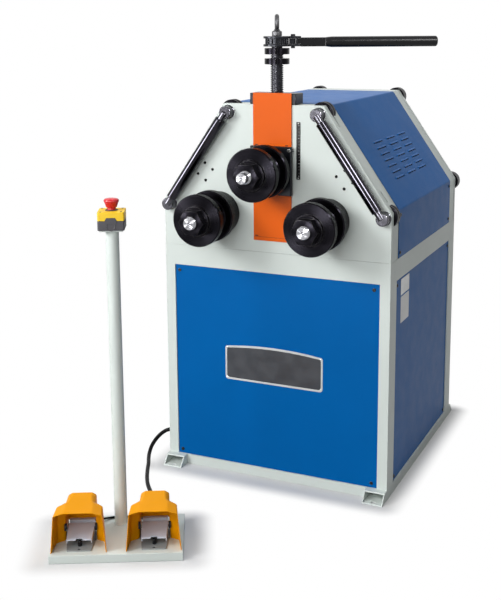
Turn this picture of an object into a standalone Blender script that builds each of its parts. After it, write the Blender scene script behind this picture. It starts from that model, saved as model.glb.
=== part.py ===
# Ring roller: a powered three-roll bending machine with its pedal and emergency-stop stand.
# Metres, +Z up. The pieces are drawn with the floor at Z 0, X 0 in the middle of the cabinet and
# Y 0 on its front face, which looks towards -Y. The last step moves the origin to the middle of
# the whole machine's footprint.

import math

import bmesh
import bpy
from mathutils import Euler, Matrix, Vector

GAP = 0.0003
PAST = 0.02
MERGE = 0.0001

# Cabinet
CABINET_WIDTH = 0.700
CABINET_DEPTH = 0.718
CABINET_HEIGHT = 0.691
TUBE_THICK = 0.030
TUBE_WIDE = 0.060
TUBE_WALL = 0.003
TOP_RAIL = 0.061
FOOT_REACH = 0.044
FOOT_SLANT = 0.024
FOOT_POCKET = 0.090
ANCHOR_RADIUS = 0.007
ANCHOR_REACH = 0.031
DECK_THICK = 0.009
DECK_FRONT = 0.0745
DECK_REAR = 0.645
PANEL_GAP = 0.0005
PANEL_RECESS = 0.003
PANEL_SHEET = 0.0015
PANEL_FLANGE = 0.014
HALF_WIDTH = CABINET_WIDTH / 2
HALF_WINDOW = HALF_WIDTH - TUBE_THICK
DECK_TOP = CABINET_HEIGHT - TUBE_WALL + DECK_THICK

# Head: the plates, their bands and the hood share one outline
HEAD_FOOT = CABINET_HEIGHT + GAP
HEAD_SHOULDER = 0.829
HEAD_TOP = 1.115
HEAD_TOP_HALF = 0.152
PLATE_THICK = 0.020
BAND_INSET = 0.0015
BAND_THICK = 0.003
BAND_END = 0.070
HOOD_THICK = 0.002
HOOD_FRONT = BAND_END + 0.0005
HOOD_REAR = 0.647
REAR_BAND_FRONT = HOOD_REAR + 0.0005
REAR_PLATE_FRONT = CABINET_DEPTH - PLATE_THICK
SLOT_HALF = 0.0565
SLOT_BOTTOM = 0.800
TAP_RADIUS = 0.00425
TAP_PLACES = ((0.2146, 0.9411), (0.1903, 0.9228), (0.2376, 0.9080), (0.2132, 0.8896))
LOUVRE_COLUMNS = (0.2345, 0.3560, 0.4715)
LOUVRE_ROWS = 7
LOUVRE_FIRST = 0.080
LOUVRE_STEP = 0.0202
LOUVRE_LENGTH = 0.080
LOUVRE_SLIT = 0.004

# Tie bars between the plates
TIE_PLACES = {"upper": (0.1385, 1.0925), "lower": (0.3288, 0.8160)}
TIE_RADIUS = 0.016
TIE_COLLAR_RADIUS = 0.032
TIE_COLLAR_END = 0.0485
TIE_DISC_RADIUS = 0.030
TIE_DISC_END = 0.750
RELIEF_LENGTH = 0.035
RELIEF_DEPTH = 0.030

# Rolls, their shafts, nuts and bearings
LOWER_ROLL_X = 0.1675
LOWER_ROLL_Z = 0.798
TOP_ROLL_Z = 0.935
ROLL_RADIUS = 0.074
ROLL_HUB_RADIUS = 0.050
ROLL_REAR = -0.050
ROLL_FLANGE = 0.024
ROLL_HUB = 0.052
ROLL_CHAMFER = 0.003
ROLL_BORE = 0.0203
SHAFT_RADIUS = 0.020
SHAFT_END = -0.195
TOP_PIN_END = -0.212
TOP_PIN_RADIUS = 0.015
THREAD_RADIUS = 0.018
THREAD_BORE = 0.0183
SHOULDER_RADIUS = 0.033
JOURNAL_RADIUS = 0.028
JOURNAL_BORE = 0.0285
WASHER_RADIUS = 0.042
WASHER_THICK = 0.008
NUT_ACROSS = 0.060
NUT_HEIGHT = 0.028
BEARING_RADIUS = 0.050
BEARING_FLANGE_RADIUS = 0.0625
BEARING_FLANGE_FRONT = -0.035
BEARING_END = 0.160
ROLL_FRONT = ROLL_REAR - 2 * ROLL_FLANGE - ROLL_HUB

# Gear train behind the front bearings
GEAR_MODULE = 0.005
GEAR_TEETH = 38
PINION_TEETH = 29
GEAR_FRONT = 0.180
GEAR_REAR = 0.210
GEAR_SEAT_RADIUS = 0.022
GEAR_SEAT_BORE = 0.0223
GEARBOX_FRONT = 0.240
GEARBOX_REAR = 0.360
GEARBOX_HALF = 0.070
GEARBOX_RISE = 0.087
MOTOR_REAR = 0.600
MOTOR_RADIUS = 0.068
DRIVE_SHAFT_RADIUS = 0.018
DRIVE_SHAFT_BORE = 0.0183

# Slide, its covers and its guide
SLIDE_HALF = 0.0625
SLIDE_BOTTOM = 0.862
SLIDE_TOP = 1.000
SLIDE_FRONT = -0.018
COVER_REAR = -0.0020
COVER_FRONT = -0.0040
COVER_HALF = 0.0585
COVER_TOP = 1.148
COVER_FOOT = 0.726
NECK_HALF = 0.0545
NECK_BOTTOM = 0.885
NECK_TOP = 0.985
SLIDE_REAR = 0.110
GUIDE_OUTER = 0.085
GUIDE_REAR = 0.100
GUIDE_FOOT = 0.745
GUIDE_SILL = 0.778
GUIDE_TOP = 1.108

# Screw stack on the slide
SCREW_Y = 0.032
SCREW_RADIUS = 0.018
SCREW_BORE = 0.0183
SPIGOT_RADIUS = 0.009
SPIGOT_BORE = 0.0093
SPIGOT_DEPTH = 0.024
SCREW_COLLAR_RADIUS = 0.021
SCREW_COLLAR_HEIGHT = 0.010
SCREW_SHOULDER = 1.2745
SCREW_NECK_RADIUS = 0.012
SCREW_NECK_BORE = 0.0124
SCREW_TOP = 1.3025
NUT_BLOCK_HALF = 0.070
NUT_BLOCK_REAR = 0.055
NUT_BLOCK_BOTTOM = HEAD_TOP + GAP
NUT_BLOCK_TOP = 1.1465
RING_NUT_RADIUS = 0.035
STOP_NUT = (1.2260, 1.2420)
LOCK_NUT = (1.2534, 1.2703)
FORK_RADIUS = 0.038
FORK_LOWER = (1.2750, 1.2810)
FORK_UPPER = (1.2970, 1.3030)
FORK_ARM_HALF = 0.013
FORK_END = 0.0664
FORK_WEB = (0.0525, 0.0565)
RATCHET = (1.2814, 1.2966)
RATCHET_TEETH = 16
RATCHET_TIP_RADIUS = 0.033
RATCHET_ROOT_RADIUS = 0.0290
PAWL_PIVOT = 0.045
PAWL_NOSE = 0.0108
PAWL_NOSE_HALF = 0.006
LEVER_ANGLE = 29.0
LEVER_TONGUE = 0.0568
LEVER_BAR_START = 0.0668
LEVER_TUBE_START = 0.137
LEVER_END = 0.454
LEVER_HEIGHT = 1.2865
LEVER_BAR_TALL = 0.025
LEVER_BAR_THICK = 0.010
LEVER_TUBE_RADIUS = 0.0147
EYE_COLLAR = (1.3034, 1.3172)
EYE_COLLAR_RADIUS = 0.014
EYE_RING_RADIUS = 0.017
EYE_WIRE_RADIUS = 0.006
EYE_TOP = 1.3635
EYE_ANGLE = 114.8

# Guide rods in front of the plate
ROD_ENDS = ((0.1380, 1.0910), (0.3295, 0.8155))
ROD_Y = -0.022
ROD_RADIUS = 0.0105
STANDOFF_RADIUS = 0.018
STANDOFF_FRONT = -0.025
SLEEVE_RADIUS = 0.015
SLEEVE_BORE = 0.0109
SLEEVE_SPAN = (0.0241, 0.3112)

# Control box and cable gland inside and on the cabinet
CONTROL_BOX = ((-0.3450, 0.200, 0.200), (-0.2450, 0.500, 0.500))
GLAND_PLACE = (0.085, 0.062)
GLAND_HOLE_RADIUS = 0.0083
GLAND_THREAD_RADIUS = 0.008
GLAND_OUTER = 0.372

# Pedal stand, drawn in its own frame: X 0 in its middle, Y 0 at its front edge
STAND_PLACE = (-0.1731, -0.6031)
STAND_ANGLE = 27.0
STAND_WIDTH = 0.3386
STAND_DEPTH = 0.212
STAND_HEIGHT = 0.022
STAND_SHEET = 0.002
POST_Y = 0.170
POST_RADIUS = 0.017
POST_TOP = 0.8272
POST_HEAD_HALF = 0.030
POST_HEAD_THICK = 0.003
BOX_HALF = 0.034
BOX_BOTTOM = 0.8277
BOX_SPLIT = 0.8525
BOX_TOP = 0.8747
BOX_WALL = 0.0025
BOX_CORNER = 0.004
BUTTON_RADIUS = 0.0195
BUTTON_TOP = 0.9058
BUTTON_STEM_RADIUS = 0.011
BUTTON_STEM_BORE = 0.0114
BUTTON_STEM_FOOT = 0.862
CONTACT_TOP = 0.8535

# Pedals and guards on the stand
PEDAL_X = 0.095
GUARD_SHEET = 0.002
GUARD_FRONT = 0.012
GUARD_WIDE_END = 0.066
GUARD_NARROW_START = 0.080
GUARD_REAR = 0.130
GUARD_HATCH = 0.075
PEDAL_HALF = 0.035
PEDAL_FRONT = 0.0185
PEDAL_REAR = 0.120
PEDAL_SHEET = 0.003
SWITCH_HALF = 0.028
SWITCH_FRONT = 0.078
SWITCH_TOP = 0.052
TREADLE_HALF = 0.035
TREADLE_SHEET = 0.002
TREADLE_TOP = ((0.030, 0.0475), (0.034, 0.0520), (0.066, 0.0600), (0.102, 0.0665))
TREADLE_SKIRT = 0.0105
TREADLE_HINGE = (0.097, 0.0575)
CONTACT_BUTTON_Y = 0.050

# Cables
MAIN_CABLE_RADIUS = 0.006
MAIN_CABLE_GAP = 0.0008
LINK_CABLE_RADIUS = 0.003
CABLE_HEIGHT = 0.046


PAINT_GREY = (0.60, 0.65, 0.62)
PAINT_BLUE = (0.02, 0.11, 0.33)
PAINT_ORANGE = (0.87, 0.17, 0.02)
PAINT_AMBER = (0.93, 0.36, 0.02)
BLACK_STEEL = (0.025, 0.025, 0.03)
BRIGHT_STEEL = (0.55, 0.55, 0.57)


def collection(name):
    group = bpy.data.collections.new(name)
    bpy.context.scene.collection.children.link(group)
    return group


for old in list(bpy.data.objects):
    bpy.data.objects.remove(old)
PARTS = collection("ring_roller")
CUTTERS = collection("cutters")


def add(name, data):
    piece = bpy.data.objects.new(name, data)
    PARTS.objects.link(piece)
    return piece


def empty(name, place=(0, 0, 0), parent=None, turn=0.0):
    marker = add(name, None)
    marker.empty_display_size = 0.05
    marker.matrix_basis = Matrix.Translation(place) @ Matrix.Rotation(turn, 4, "Z")
    attach(marker, parent)
    return marker


# While the pieces are drawn, every object's own matrix is its place in the machine's frame
def attach(child, parent):
    if parent is None:
        return child
    child.parent = parent
    child.matrix_parent_inverse = parent.matrix_basis.inverted()
    return child


def move(piece, matrix):
    piece.matrix_basis = matrix @ piece.matrix_basis
    return piece


def dress(piece, colour, parent, roughness=0.5, metallic=0.0):
    paint = bpy.data.materials.new(piece.name)
    paint.use_nodes = True
    shader = paint.node_tree.nodes["Principled BSDF"]
    shader.inputs["Base Color"].default_value = (*colour, 1)
    shader.inputs["Roughness"].default_value = roughness
    shader.inputs["Metallic"].default_value = metallic
    paint.diffuse_color = (*colour, 1)
    piece.data.materials.append(paint)
    return attach(piece, parent)


def box(name, low, high):
    size = [b - a for a, b in zip(low, high)]
    middle = [(a + b) / 2 for a, b in zip(low, high)]
    form = bmesh.new()
    bmesh.ops.create_cube(form, size=1, matrix=Matrix.Translation(middle) @ Matrix.Diagonal((*size, 1)))
    mesh = bpy.data.meshes.new(name)
    form.to_mesh(mesh)
    form.free()
    return add(name, mesh)


def bar(name, radius, start, end, sides=24):
    start = Vector(start)
    end = Vector(end)
    span = end - start
    turn = span.to_track_quat("Z", "Y").to_matrix().to_4x4()
    form = bmesh.new()
    bmesh.ops.create_cone(form, cap_ends=True, segments=sides, radius1=radius, radius2=radius,
                          depth=span.length, matrix=Matrix.Translation((start + end) / 2) @ turn)
    mesh = bpy.data.meshes.new(name)
    form.to_mesh(mesh)
    form.free()
    mesh.shade_smooth()
    mesh.set_sharp_from_angle(angle=math.radians(35))
    return add(name, mesh)


# A profile of (radius, height) points from top to bottom, turned about Z.
# With a bore the profile is a closed loop: down the outside and back up the bore.
def turned(name, profile, sides=24, bore=False):
    points = [(radius, 0, height) for radius, height in profile]
    edges = [(i, i + 1) for i in range(len(points) - 1)]
    if bore:
        edges.append((len(points) - 1, 0))
    mesh = bpy.data.meshes.new(name)
    mesh.from_pydata(points, edges, [])
    piece = add(name, mesh)
    spin = piece.modifiers.new("turn", "SCREW")
    spin.steps = sides
    spin.render_steps = sides
    spin.use_merge_vertices = True
    spin.merge_threshold = MERGE
    return piece


# Heights of a piece turned about an axis along Y are counted towards the front
def facing_front(piece, x, z):
    return move(piece, Matrix.Translation((x, 0, z)) @ Matrix.Rotation(math.pi / 2, 4, "X"))


SHEET_TURNS = {
    "X": Euler((math.pi / 2, 0, math.pi / 2)),
    "Y": Euler((math.pi / 2, 0, 0)),
    "Z": Euler((0, 0, 0)),
}


def as_mesh(shape):
    bpy.context.view_layer.update()
    graph = bpy.context.evaluated_depsgraph_get()
    mesh = bpy.data.meshes.new_from_object(shape.evaluated_get(graph))
    form = bmesh.new()
    form.from_mesh(mesh)
    bmesh.ops.remove_doubles(form, verts=form.verts, dist=1e-5)
    form.to_mesh(mesh)
    form.free()
    name = shape.name.removesuffix("_outline")
    piece = add(name, mesh)
    piece.matrix_world = shape.matrix_world
    bpy.data.objects.remove(shape)
    mesh.shade_smooth()
    mesh.set_sharp_from_angle(angle=math.radians(35))
    return piece


# A flat shape of one outer outline and any holes, from near to far along an axis.
# Along Y the outline is (x, z), along X it is (y, z), and along Z it is (x, y).
def slab(name, outlines, near, far, axis="Y"):
    curve = bpy.data.curves.new(name, "CURVE")
    curve.dimensions = "2D"
    curve.fill_mode = "BOTH"
    curve.extrude = (far - near) / 2
    for outline in outlines:
        spline = curve.splines.new("POLY")
        spline.points.add(len(outline) - 1)
        for point, (u, v) in zip(spline.points, outline):
            point.co = (u, v, 0, 1)
        spline.use_cyclic_u = True
    shape = add(name + "_outline", curve)
    place = Vector([(near + far) / 2 if letter == axis else 0 for letter in "XYZ"])
    shape.matrix_basis = Matrix.Translation(place) @ SHEET_TURNS[axis].to_matrix().to_4x4()
    return as_mesh(shape)


def ring(x, y, radius, sides=32, start=0.0, sweep=2 * math.pi):
    steps = sides if sweep == 2 * math.pi else sides - 1
    return [(x + radius * math.cos(start + sweep * i / steps), y + radius * math.sin(start + sweep * i / steps))
            for i in range(sides)]


# A round hole's outline: its flats, not its corners, touch the radius
def hole(x, y, radius, sides):
    return ring(x, y, radius / math.cos(math.pi / sides), sides)


# A thin box with one side left off, thickened inwards
def tray(name, low, high, open_side, sheet):
    piece = box(name, low, high)
    form = bmesh.new()
    form.from_mesh(piece.data)
    form.normal_update()
    lid = max(form.faces, key=lambda face: face.normal.dot(Vector(open_side)))
    bmesh.ops.delete(form, geom=[lid], context="FACES_ONLY")
    form.to_mesh(piece.data)
    form.free()
    return thicken(piece, sheet)


def thicken(piece, sheet):
    shell = piece.modifiers.new("sheet", "SOLIDIFY")
    shell.thickness = sheet
    shell.offset = -1
    shell.use_even_offset = True
    return piece


def bevel(piece, width, segments=1, angle=35.0):
    edge = piece.modifiers.new("edges", "BEVEL")
    edge.width = width
    edge.segments = segments
    edge.limit_method = "ANGLE"
    edge.angle_limit = math.radians(angle)
    return piece


# Rounds a box's four upright edges
def round_uprights(piece):
    weights = piece.data.attributes.new("bevel_weight_edge", "FLOAT", "EDGE")
    for edge in piece.data.edges:
        ends = [piece.data.vertices[i].co for i in edge.vertices]
        if abs(ends[0].z - ends[1].z) > GAP:
            weights.data[edge.index].value = 1.0
    corner = piece.modifiers.new("corners", "BEVEL")
    corner.width = BOX_CORNER
    corner.segments = 2
    corner.limit_method = "WEIGHT"
    return piece


def combine(piece, tool, operation):
    step = piece.modifiers.new(tool.name, "BOOLEAN")
    step.operation = operation
    step.solver = "EXACT"
    step.object = tool
    PARTS.objects.unlink(tool)
    CUTTERS.objects.link(tool)
    tool.hide_render = True
    tool.display_type = "WIRE"
    attach(tool, piece)
    return piece


def cut(piece, tool):
    return combine(piece, tool, "DIFFERENCE")


def join(piece, tool):
    return combine(piece, tool, "UNION")


def keep_inside(piece, tool):
    return combine(piece, tool, "INTERSECT")


def skid(side):
    reach = CABINET_DEPTH + FOOT_REACH
    outline = [(-FOOT_REACH, 0), (reach, 0), (reach - FOOT_SLANT, TUBE_THICK),
               (-FOOT_REACH + FOOT_SLANT, TUBE_THICK)]
    edges = sorted((side * (HALF_WIDTH - TUBE_WIDE), side * HALF_WIDTH))
    return slab(f"skid_{side}", [outline], *edges, axis="X")


def base_frame(root):
    back = CABINET_DEPTH
    frame = box("base_frame", (-HALF_WIDTH, 0, 0), (HALF_WIDTH, back, CABINET_HEIGHT))
    cut(frame, box("well", (-HALF_WINDOW, TUBE_THICK, -PAST),
                   (HALF_WINDOW, back - TUBE_THICK, CABINET_HEIGHT + PAST)))
    cut(frame, box("front_window", (-HALF_WINDOW, -PAST, TUBE_THICK),
                   (HALF_WINDOW, back + PAST, CABINET_HEIGHT - TOP_RAIL)))
    cut(frame, box("side_window", (-HALF_WIDTH - PAST, TUBE_WIDE, TUBE_THICK),
                   (HALF_WIDTH + PAST, back - TUBE_WIDE, CABINET_HEIGHT - TOP_RAIL)))
    for side in (-1, 1):
        join(frame, skid(side))
    join(frame, box("deck", (-HALF_WIDTH + 0.005, DECK_FRONT, DECK_TOP - DECK_THICK),
                    (HALF_WIDTH - 0.005, DECK_REAR, DECK_TOP)))
    for side in (-1, 1):
        walls = sorted((side * (HALF_WIDTH - TUBE_WIDE + TUBE_WALL), side * (HALF_WIDTH - TUBE_WALL)))
        hole_x = side * (HALF_WIDTH - TUBE_WIDE / 2)
        for end, start, stop in (("front", -FOOT_REACH - PAST, FOOT_POCKET - FOOT_REACH),
                                 ("rear", back + FOOT_REACH - FOOT_POCKET, back + FOOT_REACH + PAST)):
            cut(frame, box(f"{end}_pocket_{side}", (walls[0], start, TUBE_WALL),
                           (walls[1], stop, TUBE_THICK - TUBE_WALL)))
        for end, hole_y in (("front", -ANCHOR_REACH), ("rear", back + ANCHOR_REACH)):
            cut(frame, bar(f"{end}_anchor_{side}", ANCHOR_RADIUS, (hole_x, hole_y, -PAST),
                           (hole_x, hole_y, TUBE_THICK / 2), 16))
    dress(frame, PAINT_GREY, root, 0.4)


def panels(root):
    low = TUBE_THICK + PANEL_GAP
    high = CABINET_HEIGHT - TOP_RAIL - PANEL_GAP
    across = HALF_WINDOW - PANEL_GAP
    near = TUBE_WIDE + PANEL_GAP
    far = CABINET_DEPTH - TUBE_WIDE - PANEL_GAP
    skin = PANEL_RECESS
    lip = PANEL_RECESS + PANEL_FLANGE
    front = tray("front_panel", (-across, skin, low), (across, lip, high), (0, 1, 0), PANEL_SHEET)
    rear = tray("rear_panel", (-across, CABINET_DEPTH - lip, low), (across, CABINET_DEPTH - skin, high),
                (0, -1, 0), PANEL_SHEET)
    left = tray("left_panel", (-HALF_WIDTH + skin, near, low), (-HALF_WIDTH + lip, far, high),
                (1, 0, 0), PANEL_SHEET)
    right = tray("right_panel", (HALF_WIDTH - lip, near, low), (HALF_WIDTH - skin, far, high),
                 (-1, 0, 0), PANEL_SHEET)
    cut(left, bar("gland_hole", GLAND_HOLE_RADIUS, (-HALF_WIDTH - PAST, *GLAND_PLACE),
                  (-HALF_WIDTH + PAST, *GLAND_PLACE), 16))
    for panel in (front, rear, left, right):
        dress(panel, PAINT_BLUE, root, 0.35)


# Right half of the head's outline, from its foot up to the flat top, drawn in by an inset
def head_side(inset, foot):
    corner = Vector((HALF_WIDTH, HEAD_SHOULDER))
    run = Vector((HEAD_TOP_HALF, HEAD_TOP)) - corner
    normal = Vector((run.y, -run.x)).normalized()
    reach = normal.dot(corner) - inset
    x = HALF_WIDTH - inset
    z = HEAD_TOP - inset
    shoulder = (x, (reach - normal.x * x) / normal.y)
    top = ((reach - normal.y * z) / normal.x, z)
    return [(x, foot), shoulder, top]


def mirrored(side):
    return side + [(-x, z) for x, z in reversed(side)]


def head_strip(inset, sheet, foot):
    outer = mirrored(head_side(inset, foot))
    inner = mirrored(head_side(inset + sheet, foot))
    return outer + inner[::-1]


def slope_frame(side):
    low = Vector((HALF_WIDTH, 0, HEAD_SHOULDER))
    high = Vector((HEAD_TOP_HALF, 0, HEAD_TOP))
    along = (high - low).normalized()
    out = Vector((along.z, 0, -along.x))
    turn = Matrix((along, Vector((0, 1, 0)), out)).transposed().to_4x4()
    place = Matrix.Translation(low) @ turn
    return Matrix.Diagonal((-1, 1, 1, 1)) @ place if side < 0 else place


# Boxes on a slope of the head: along it from the shoulder, back from the front, and out from its face
def slope_boxes(name, side, boxes):
    frame = slope_frame(side)
    form = bmesh.new()
    for low, high in boxes:
        size = [b - a for a, b in zip(low, high)]
        middle = [(a + b) / 2 for a, b in zip(low, high)]
        bmesh.ops.create_cube(form, size=1, matrix=frame @ Matrix.Translation(middle) @ Matrix.Diagonal((*size, 1)))
    bmesh.ops.recalc_face_normals(form, faces=form.faces)
    mesh = bpy.data.meshes.new(name)
    form.to_mesh(mesh)
    form.free()
    return add(name, mesh)


def front_plate(root):
    outer = mirrored(head_side(0, HEAD_FOOT))
    slot = [(SLOT_HALF, HEAD_TOP), (SLOT_HALF, SLOT_BOTTOM), (-SLOT_HALF, SLOT_BOTTOM), (-SLOT_HALF, HEAD_TOP)]
    outline = outer[:3] + slot + outer[3:]
    holes = []
    for side in (-1, 1):
        holes.append(hole(side * LOWER_ROLL_X, LOWER_ROLL_Z, BEARING_RADIUS + GAP, 24))
        for x, z in TAP_PLACES:
            holes.append(hole(side * x, z, TAP_RADIUS, 8))
    plate = slab("front_plate", [outline] + holes, 0, PLATE_THICK)
    dress(plate, PAINT_GREY, root, 0.4)


def front_band(root):
    start = PLATE_THICK + GAP
    band = slab("front_band", [head_strip(BAND_INSET, BAND_THICK, HEAD_FOOT)], start, BAND_END)
    cut(band, box("screw_notch", (-0.060, PLATE_THICK - PAST, HEAD_TOP - PAST),
                  (0.060, NUT_BLOCK_REAR + 0.001, HEAD_TOP + PAST)))
    slope = math.dist((HALF_WIDTH, HEAD_SHOULDER), (HEAD_TOP_HALF, HEAD_TOP))
    for side in (-1, 1):
        for place, (x, z) in TIE_PLACES.items():
            cut(band, bar(f"{place}_collar_notch_{side}", TIE_COLLAR_RADIUS + 0.0008,
                          (side * x, PLATE_THICK - PAST, z), (side * x, TIE_COLLAR_END + 0.001, z), 16))
        reliefs = []
        for low in (0.034, slope - 0.034 - RELIEF_LENGTH):
            reliefs.append(((low, PLATE_THICK - 0.01, -PAST), (low + RELIEF_LENGTH, RELIEF_DEPTH, PAST)))
        cut(band, slope_boxes(f"reliefs_{side}", side, reliefs))
    dress(band, PAINT_GREY, root, 0.4)


def rear_plate(root):
    holes = [hole(side * x, z, TIE_RADIUS + GAP, 16) for side in (-1, 1) for x, z in TIE_PLACES.values()]
    plate = slab("rear_plate", [mirrored(head_side(0, HEAD_FOOT))] + holes, REAR_PLATE_FRONT, CABINET_DEPTH)
    band = slab("rear_band", [head_strip(0, BAND_THICK, HEAD_FOOT)], REAR_BAND_FRONT, REAR_PLATE_FRONT + 0.005)
    join(plate, band)
    dress(plate, PAINT_GREY, root, 0.4)


def hood(root):
    cover = slab("hood", [head_strip(0, HOOD_THICK, HEAD_FOOT)], HOOD_FRONT, HOOD_REAR)
    for side in (-1, 1):
        slits = []
        for row in range(LOUVRE_ROWS):
            low = LOUVRE_FIRST + row * LOUVRE_STEP
            for middle in LOUVRE_COLUMNS:
                slits.append(((low, middle - LOUVRE_LENGTH / 2, -PAST),
                              (low + LOUVRE_SLIT, middle + LOUVRE_LENGTH / 2, PAST)))
        cut(cover, slope_boxes(f"louvres_{side}", side, slits))
    dress(cover, PAINT_BLUE, root, 0.35)


def tie_bars(root):
    front = -PLATE_THICK - GAP
    chamfer = 0.0015
    profile = [(0, front), (TIE_COLLAR_RADIUS - chamfer, front), (TIE_COLLAR_RADIUS, front - chamfer),
               (TIE_COLLAR_RADIUS, -TIE_COLLAR_END), (TIE_RADIUS, -TIE_COLLAR_END),
               (TIE_RADIUS, -CABINET_DEPTH - GAP), (TIE_DISC_RADIUS, -CABINET_DEPTH - GAP),
               (TIE_DISC_RADIUS, -TIE_DISC_END + chamfer), (TIE_DISC_RADIUS - chamfer, -TIE_DISC_END),
               (0, -TIE_DISC_END)]
    for side, word in ((-1, "left"), (1, "right")):
        for place, (x, z) in TIE_PLACES.items():
            tie = facing_front(turned(f"{place}_{word}_tie_bar", profile, 16), side * x, z)
            dress(tie, BLACK_STEEL, root, 0.35, 0.8)


def roll_profile():
    rim = ROLL_RADIUS - ROLL_CHAMFER
    front = -ROLL_FRONT
    rear = -ROLL_REAR
    return [(rim, front), (ROLL_RADIUS, front - ROLL_CHAMFER), (ROLL_RADIUS, front - ROLL_FLANGE + ROLL_CHAMFER),
            (rim, front - ROLL_FLANGE), (ROLL_HUB_RADIUS, front - ROLL_FLANGE),
            (ROLL_HUB_RADIUS, rear + ROLL_FLANGE), (rim, rear + ROLL_FLANGE),
            (ROLL_RADIUS, rear + ROLL_FLANGE - ROLL_CHAMFER), (ROLL_RADIUS, rear + ROLL_CHAMFER), (rim, rear),
            (ROLL_BORE, rear), (ROLL_BORE, front)]


def shaft_profile(shoulder_rear, journal_rear, seat_rear=None, pin=None):
    tip = -SHAFT_END
    thread_start = -ROLL_FRONT
    profile = [(0, tip), (THREAD_RADIUS - 0.002, tip), (THREAD_RADIUS, tip - 0.002), (THREAD_RADIUS, thread_start),
               (SHAFT_RADIUS, thread_start), (SHAFT_RADIUS, -ROLL_REAR - GAP),
               (SHOULDER_RADIUS, -ROLL_REAR - GAP), (SHOULDER_RADIUS, -shoulder_rear),
               (JOURNAL_RADIUS, -shoulder_rear), (JOURNAL_RADIUS, -journal_rear)]
    if seat_rear:
        profile += [(GEAR_SEAT_RADIUS, -journal_rear), (GEAR_SEAT_RADIUS, -seat_rear), (0, -seat_rear)]
    else:
        profile.append((0, -journal_rear))
    if pin:
        radius, end = pin
        profile = [(0, -end), (radius - 0.001, -end), (radius, -end - 0.001), (radius, tip)] + profile[1:]
    return profile


def roll_nut(name, x, z):
    front = -ROLL_FRONT + WASHER_THICK + NUT_HEIGHT
    seat = -ROLL_FRONT + GAP
    corner = NUT_ACROSS / math.sqrt(3)
    face = NUT_ACROSS / 2
    nut = slab(name, [ring(0, 0, corner, 6, math.pi / 6)], seat, front, axis="Z")
    barrel = turned(name + "_chamfer", [(0, front + 0.001), (face - 0.001, front + 0.001),
                                        (corner + 0.001, front - 0.004), (corner + 0.001, seat - 0.001),
                                        (0, seat - 0.001)], 24)
    keep_inside(nut, barrel)
    washer = turned(name + "_washer", [(0, seat + WASHER_THICK), (WASHER_RADIUS - 0.001, seat + WASHER_THICK),
                                       (WASHER_RADIUS, seat + WASHER_THICK - 0.001), (WASHER_RADIUS, seat),
                                       (0, seat)], 24)
    join(nut, washer)
    cut(nut, bar(name + "_bore", THREAD_BORE, (0, 0, seat - PAST), (0, 0, front + PAST), 20))
    return facing_front(nut, x, z)


def rolls(top_axis, left_axis, right_axis):
    for word, x, z, axis in (("top", 0, TOP_ROLL_Z, top_axis), ("left", -LOWER_ROLL_X, LOWER_ROLL_Z, left_axis),
                             ("right", LOWER_ROLL_X, LOWER_ROLL_Z, right_axis)):
        if word == "top":
            profile = shaft_profile(SLIDE_FRONT - 0.0005, SLIDE_REAR + 0.015, pin=(TOP_PIN_RADIUS, TOP_PIN_END))
        else:
            profile = shaft_profile(BEARING_FLANGE_FRONT - 0.0005, BEARING_END + 0.005, GEAR_REAR + 0.015)
        dress(facing_front(turned(f"{word}_shaft", profile, 20), x, z), BRIGHT_STEEL, axis, 0.25, 1.0)
        dress(facing_front(turned(f"{word}_roll", roll_profile(), 28, bore=True), x, z), BLACK_STEEL, axis, 0.35, 0.8)
        dress(roll_nut(f"{word}_nut", x, z), BLACK_STEEL, axis, 0.35, 0.8)


def bearings(root):
    front = -BEARING_FLANGE_FRONT
    profile = [(BEARING_FLANGE_RADIUS - 0.002, front), (BEARING_FLANGE_RADIUS, front - 0.002),
               (BEARING_FLANGE_RADIUS, GAP), (BEARING_RADIUS, GAP), (BEARING_RADIUS, -BEARING_END),
               (JOURNAL_BORE, -BEARING_END), (JOURNAL_BORE, front)]
    for word, side in (("left", -1), ("right", 1)):
        house = facing_front(turned(f"{word}_bearing", profile, 24, bore=True), side * LOWER_ROLL_X, LOWER_ROLL_Z)
        dress(house, BLACK_STEEL, root, 0.4, 0.7)


# Straight-sided teeth, thinner than the pitch so that the meshing gears keep clear of each other
def gear_outline(teeth, turn):
    pitch = teeth * GEAR_MODULE / 2
    root_radius = pitch - 1.15 * GEAR_MODULE
    tip_radius = pitch + 0.8 * GEAR_MODULE
    half_pitch = math.pi / teeth
    points = []
    for tooth in range(teeth):
        middle = turn + tooth * 2 * half_pitch
        for radius, share in ((root_radius, -0.62), (tip_radius, -0.22), (tip_radius, 0.22), (root_radius, 0.62)):
            angle = middle + share * half_pitch
            points.append((radius * math.cos(angle), radius * math.sin(angle)))
    return points


def gears(left_axis, right_axis, pinion_axis):
    bore = hole(0, 0, GEAR_SEAT_BORE, 16)
    for word, side, axis, turn in (("left", -1, left_axis, 0.0), ("right", 1, right_axis, math.pi / GEAR_TEETH)):
        wheel = slab(f"{word}_gear", [gear_outline(GEAR_TEETH, turn), bore], GEAR_FRONT, GEAR_REAR)
        move(wheel, Matrix.Translation((side * LOWER_ROLL_X, 0, LOWER_ROLL_Z)))
        dress(wheel, BRIGHT_STEEL, axis, 0.4, 1.0)
    pinion = slab("drive_pinion", [gear_outline(PINION_TEETH, 0.0), hole(0, 0, DRIVE_SHAFT_BORE, 16)],
                  GEAR_FRONT, GEAR_REAR)
    move(pinion, Matrix.Translation((0, 0, LOWER_ROLL_Z)))
    dress(pinion, BRIGHT_STEEL, pinion_axis, 0.4, 1.0)


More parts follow.
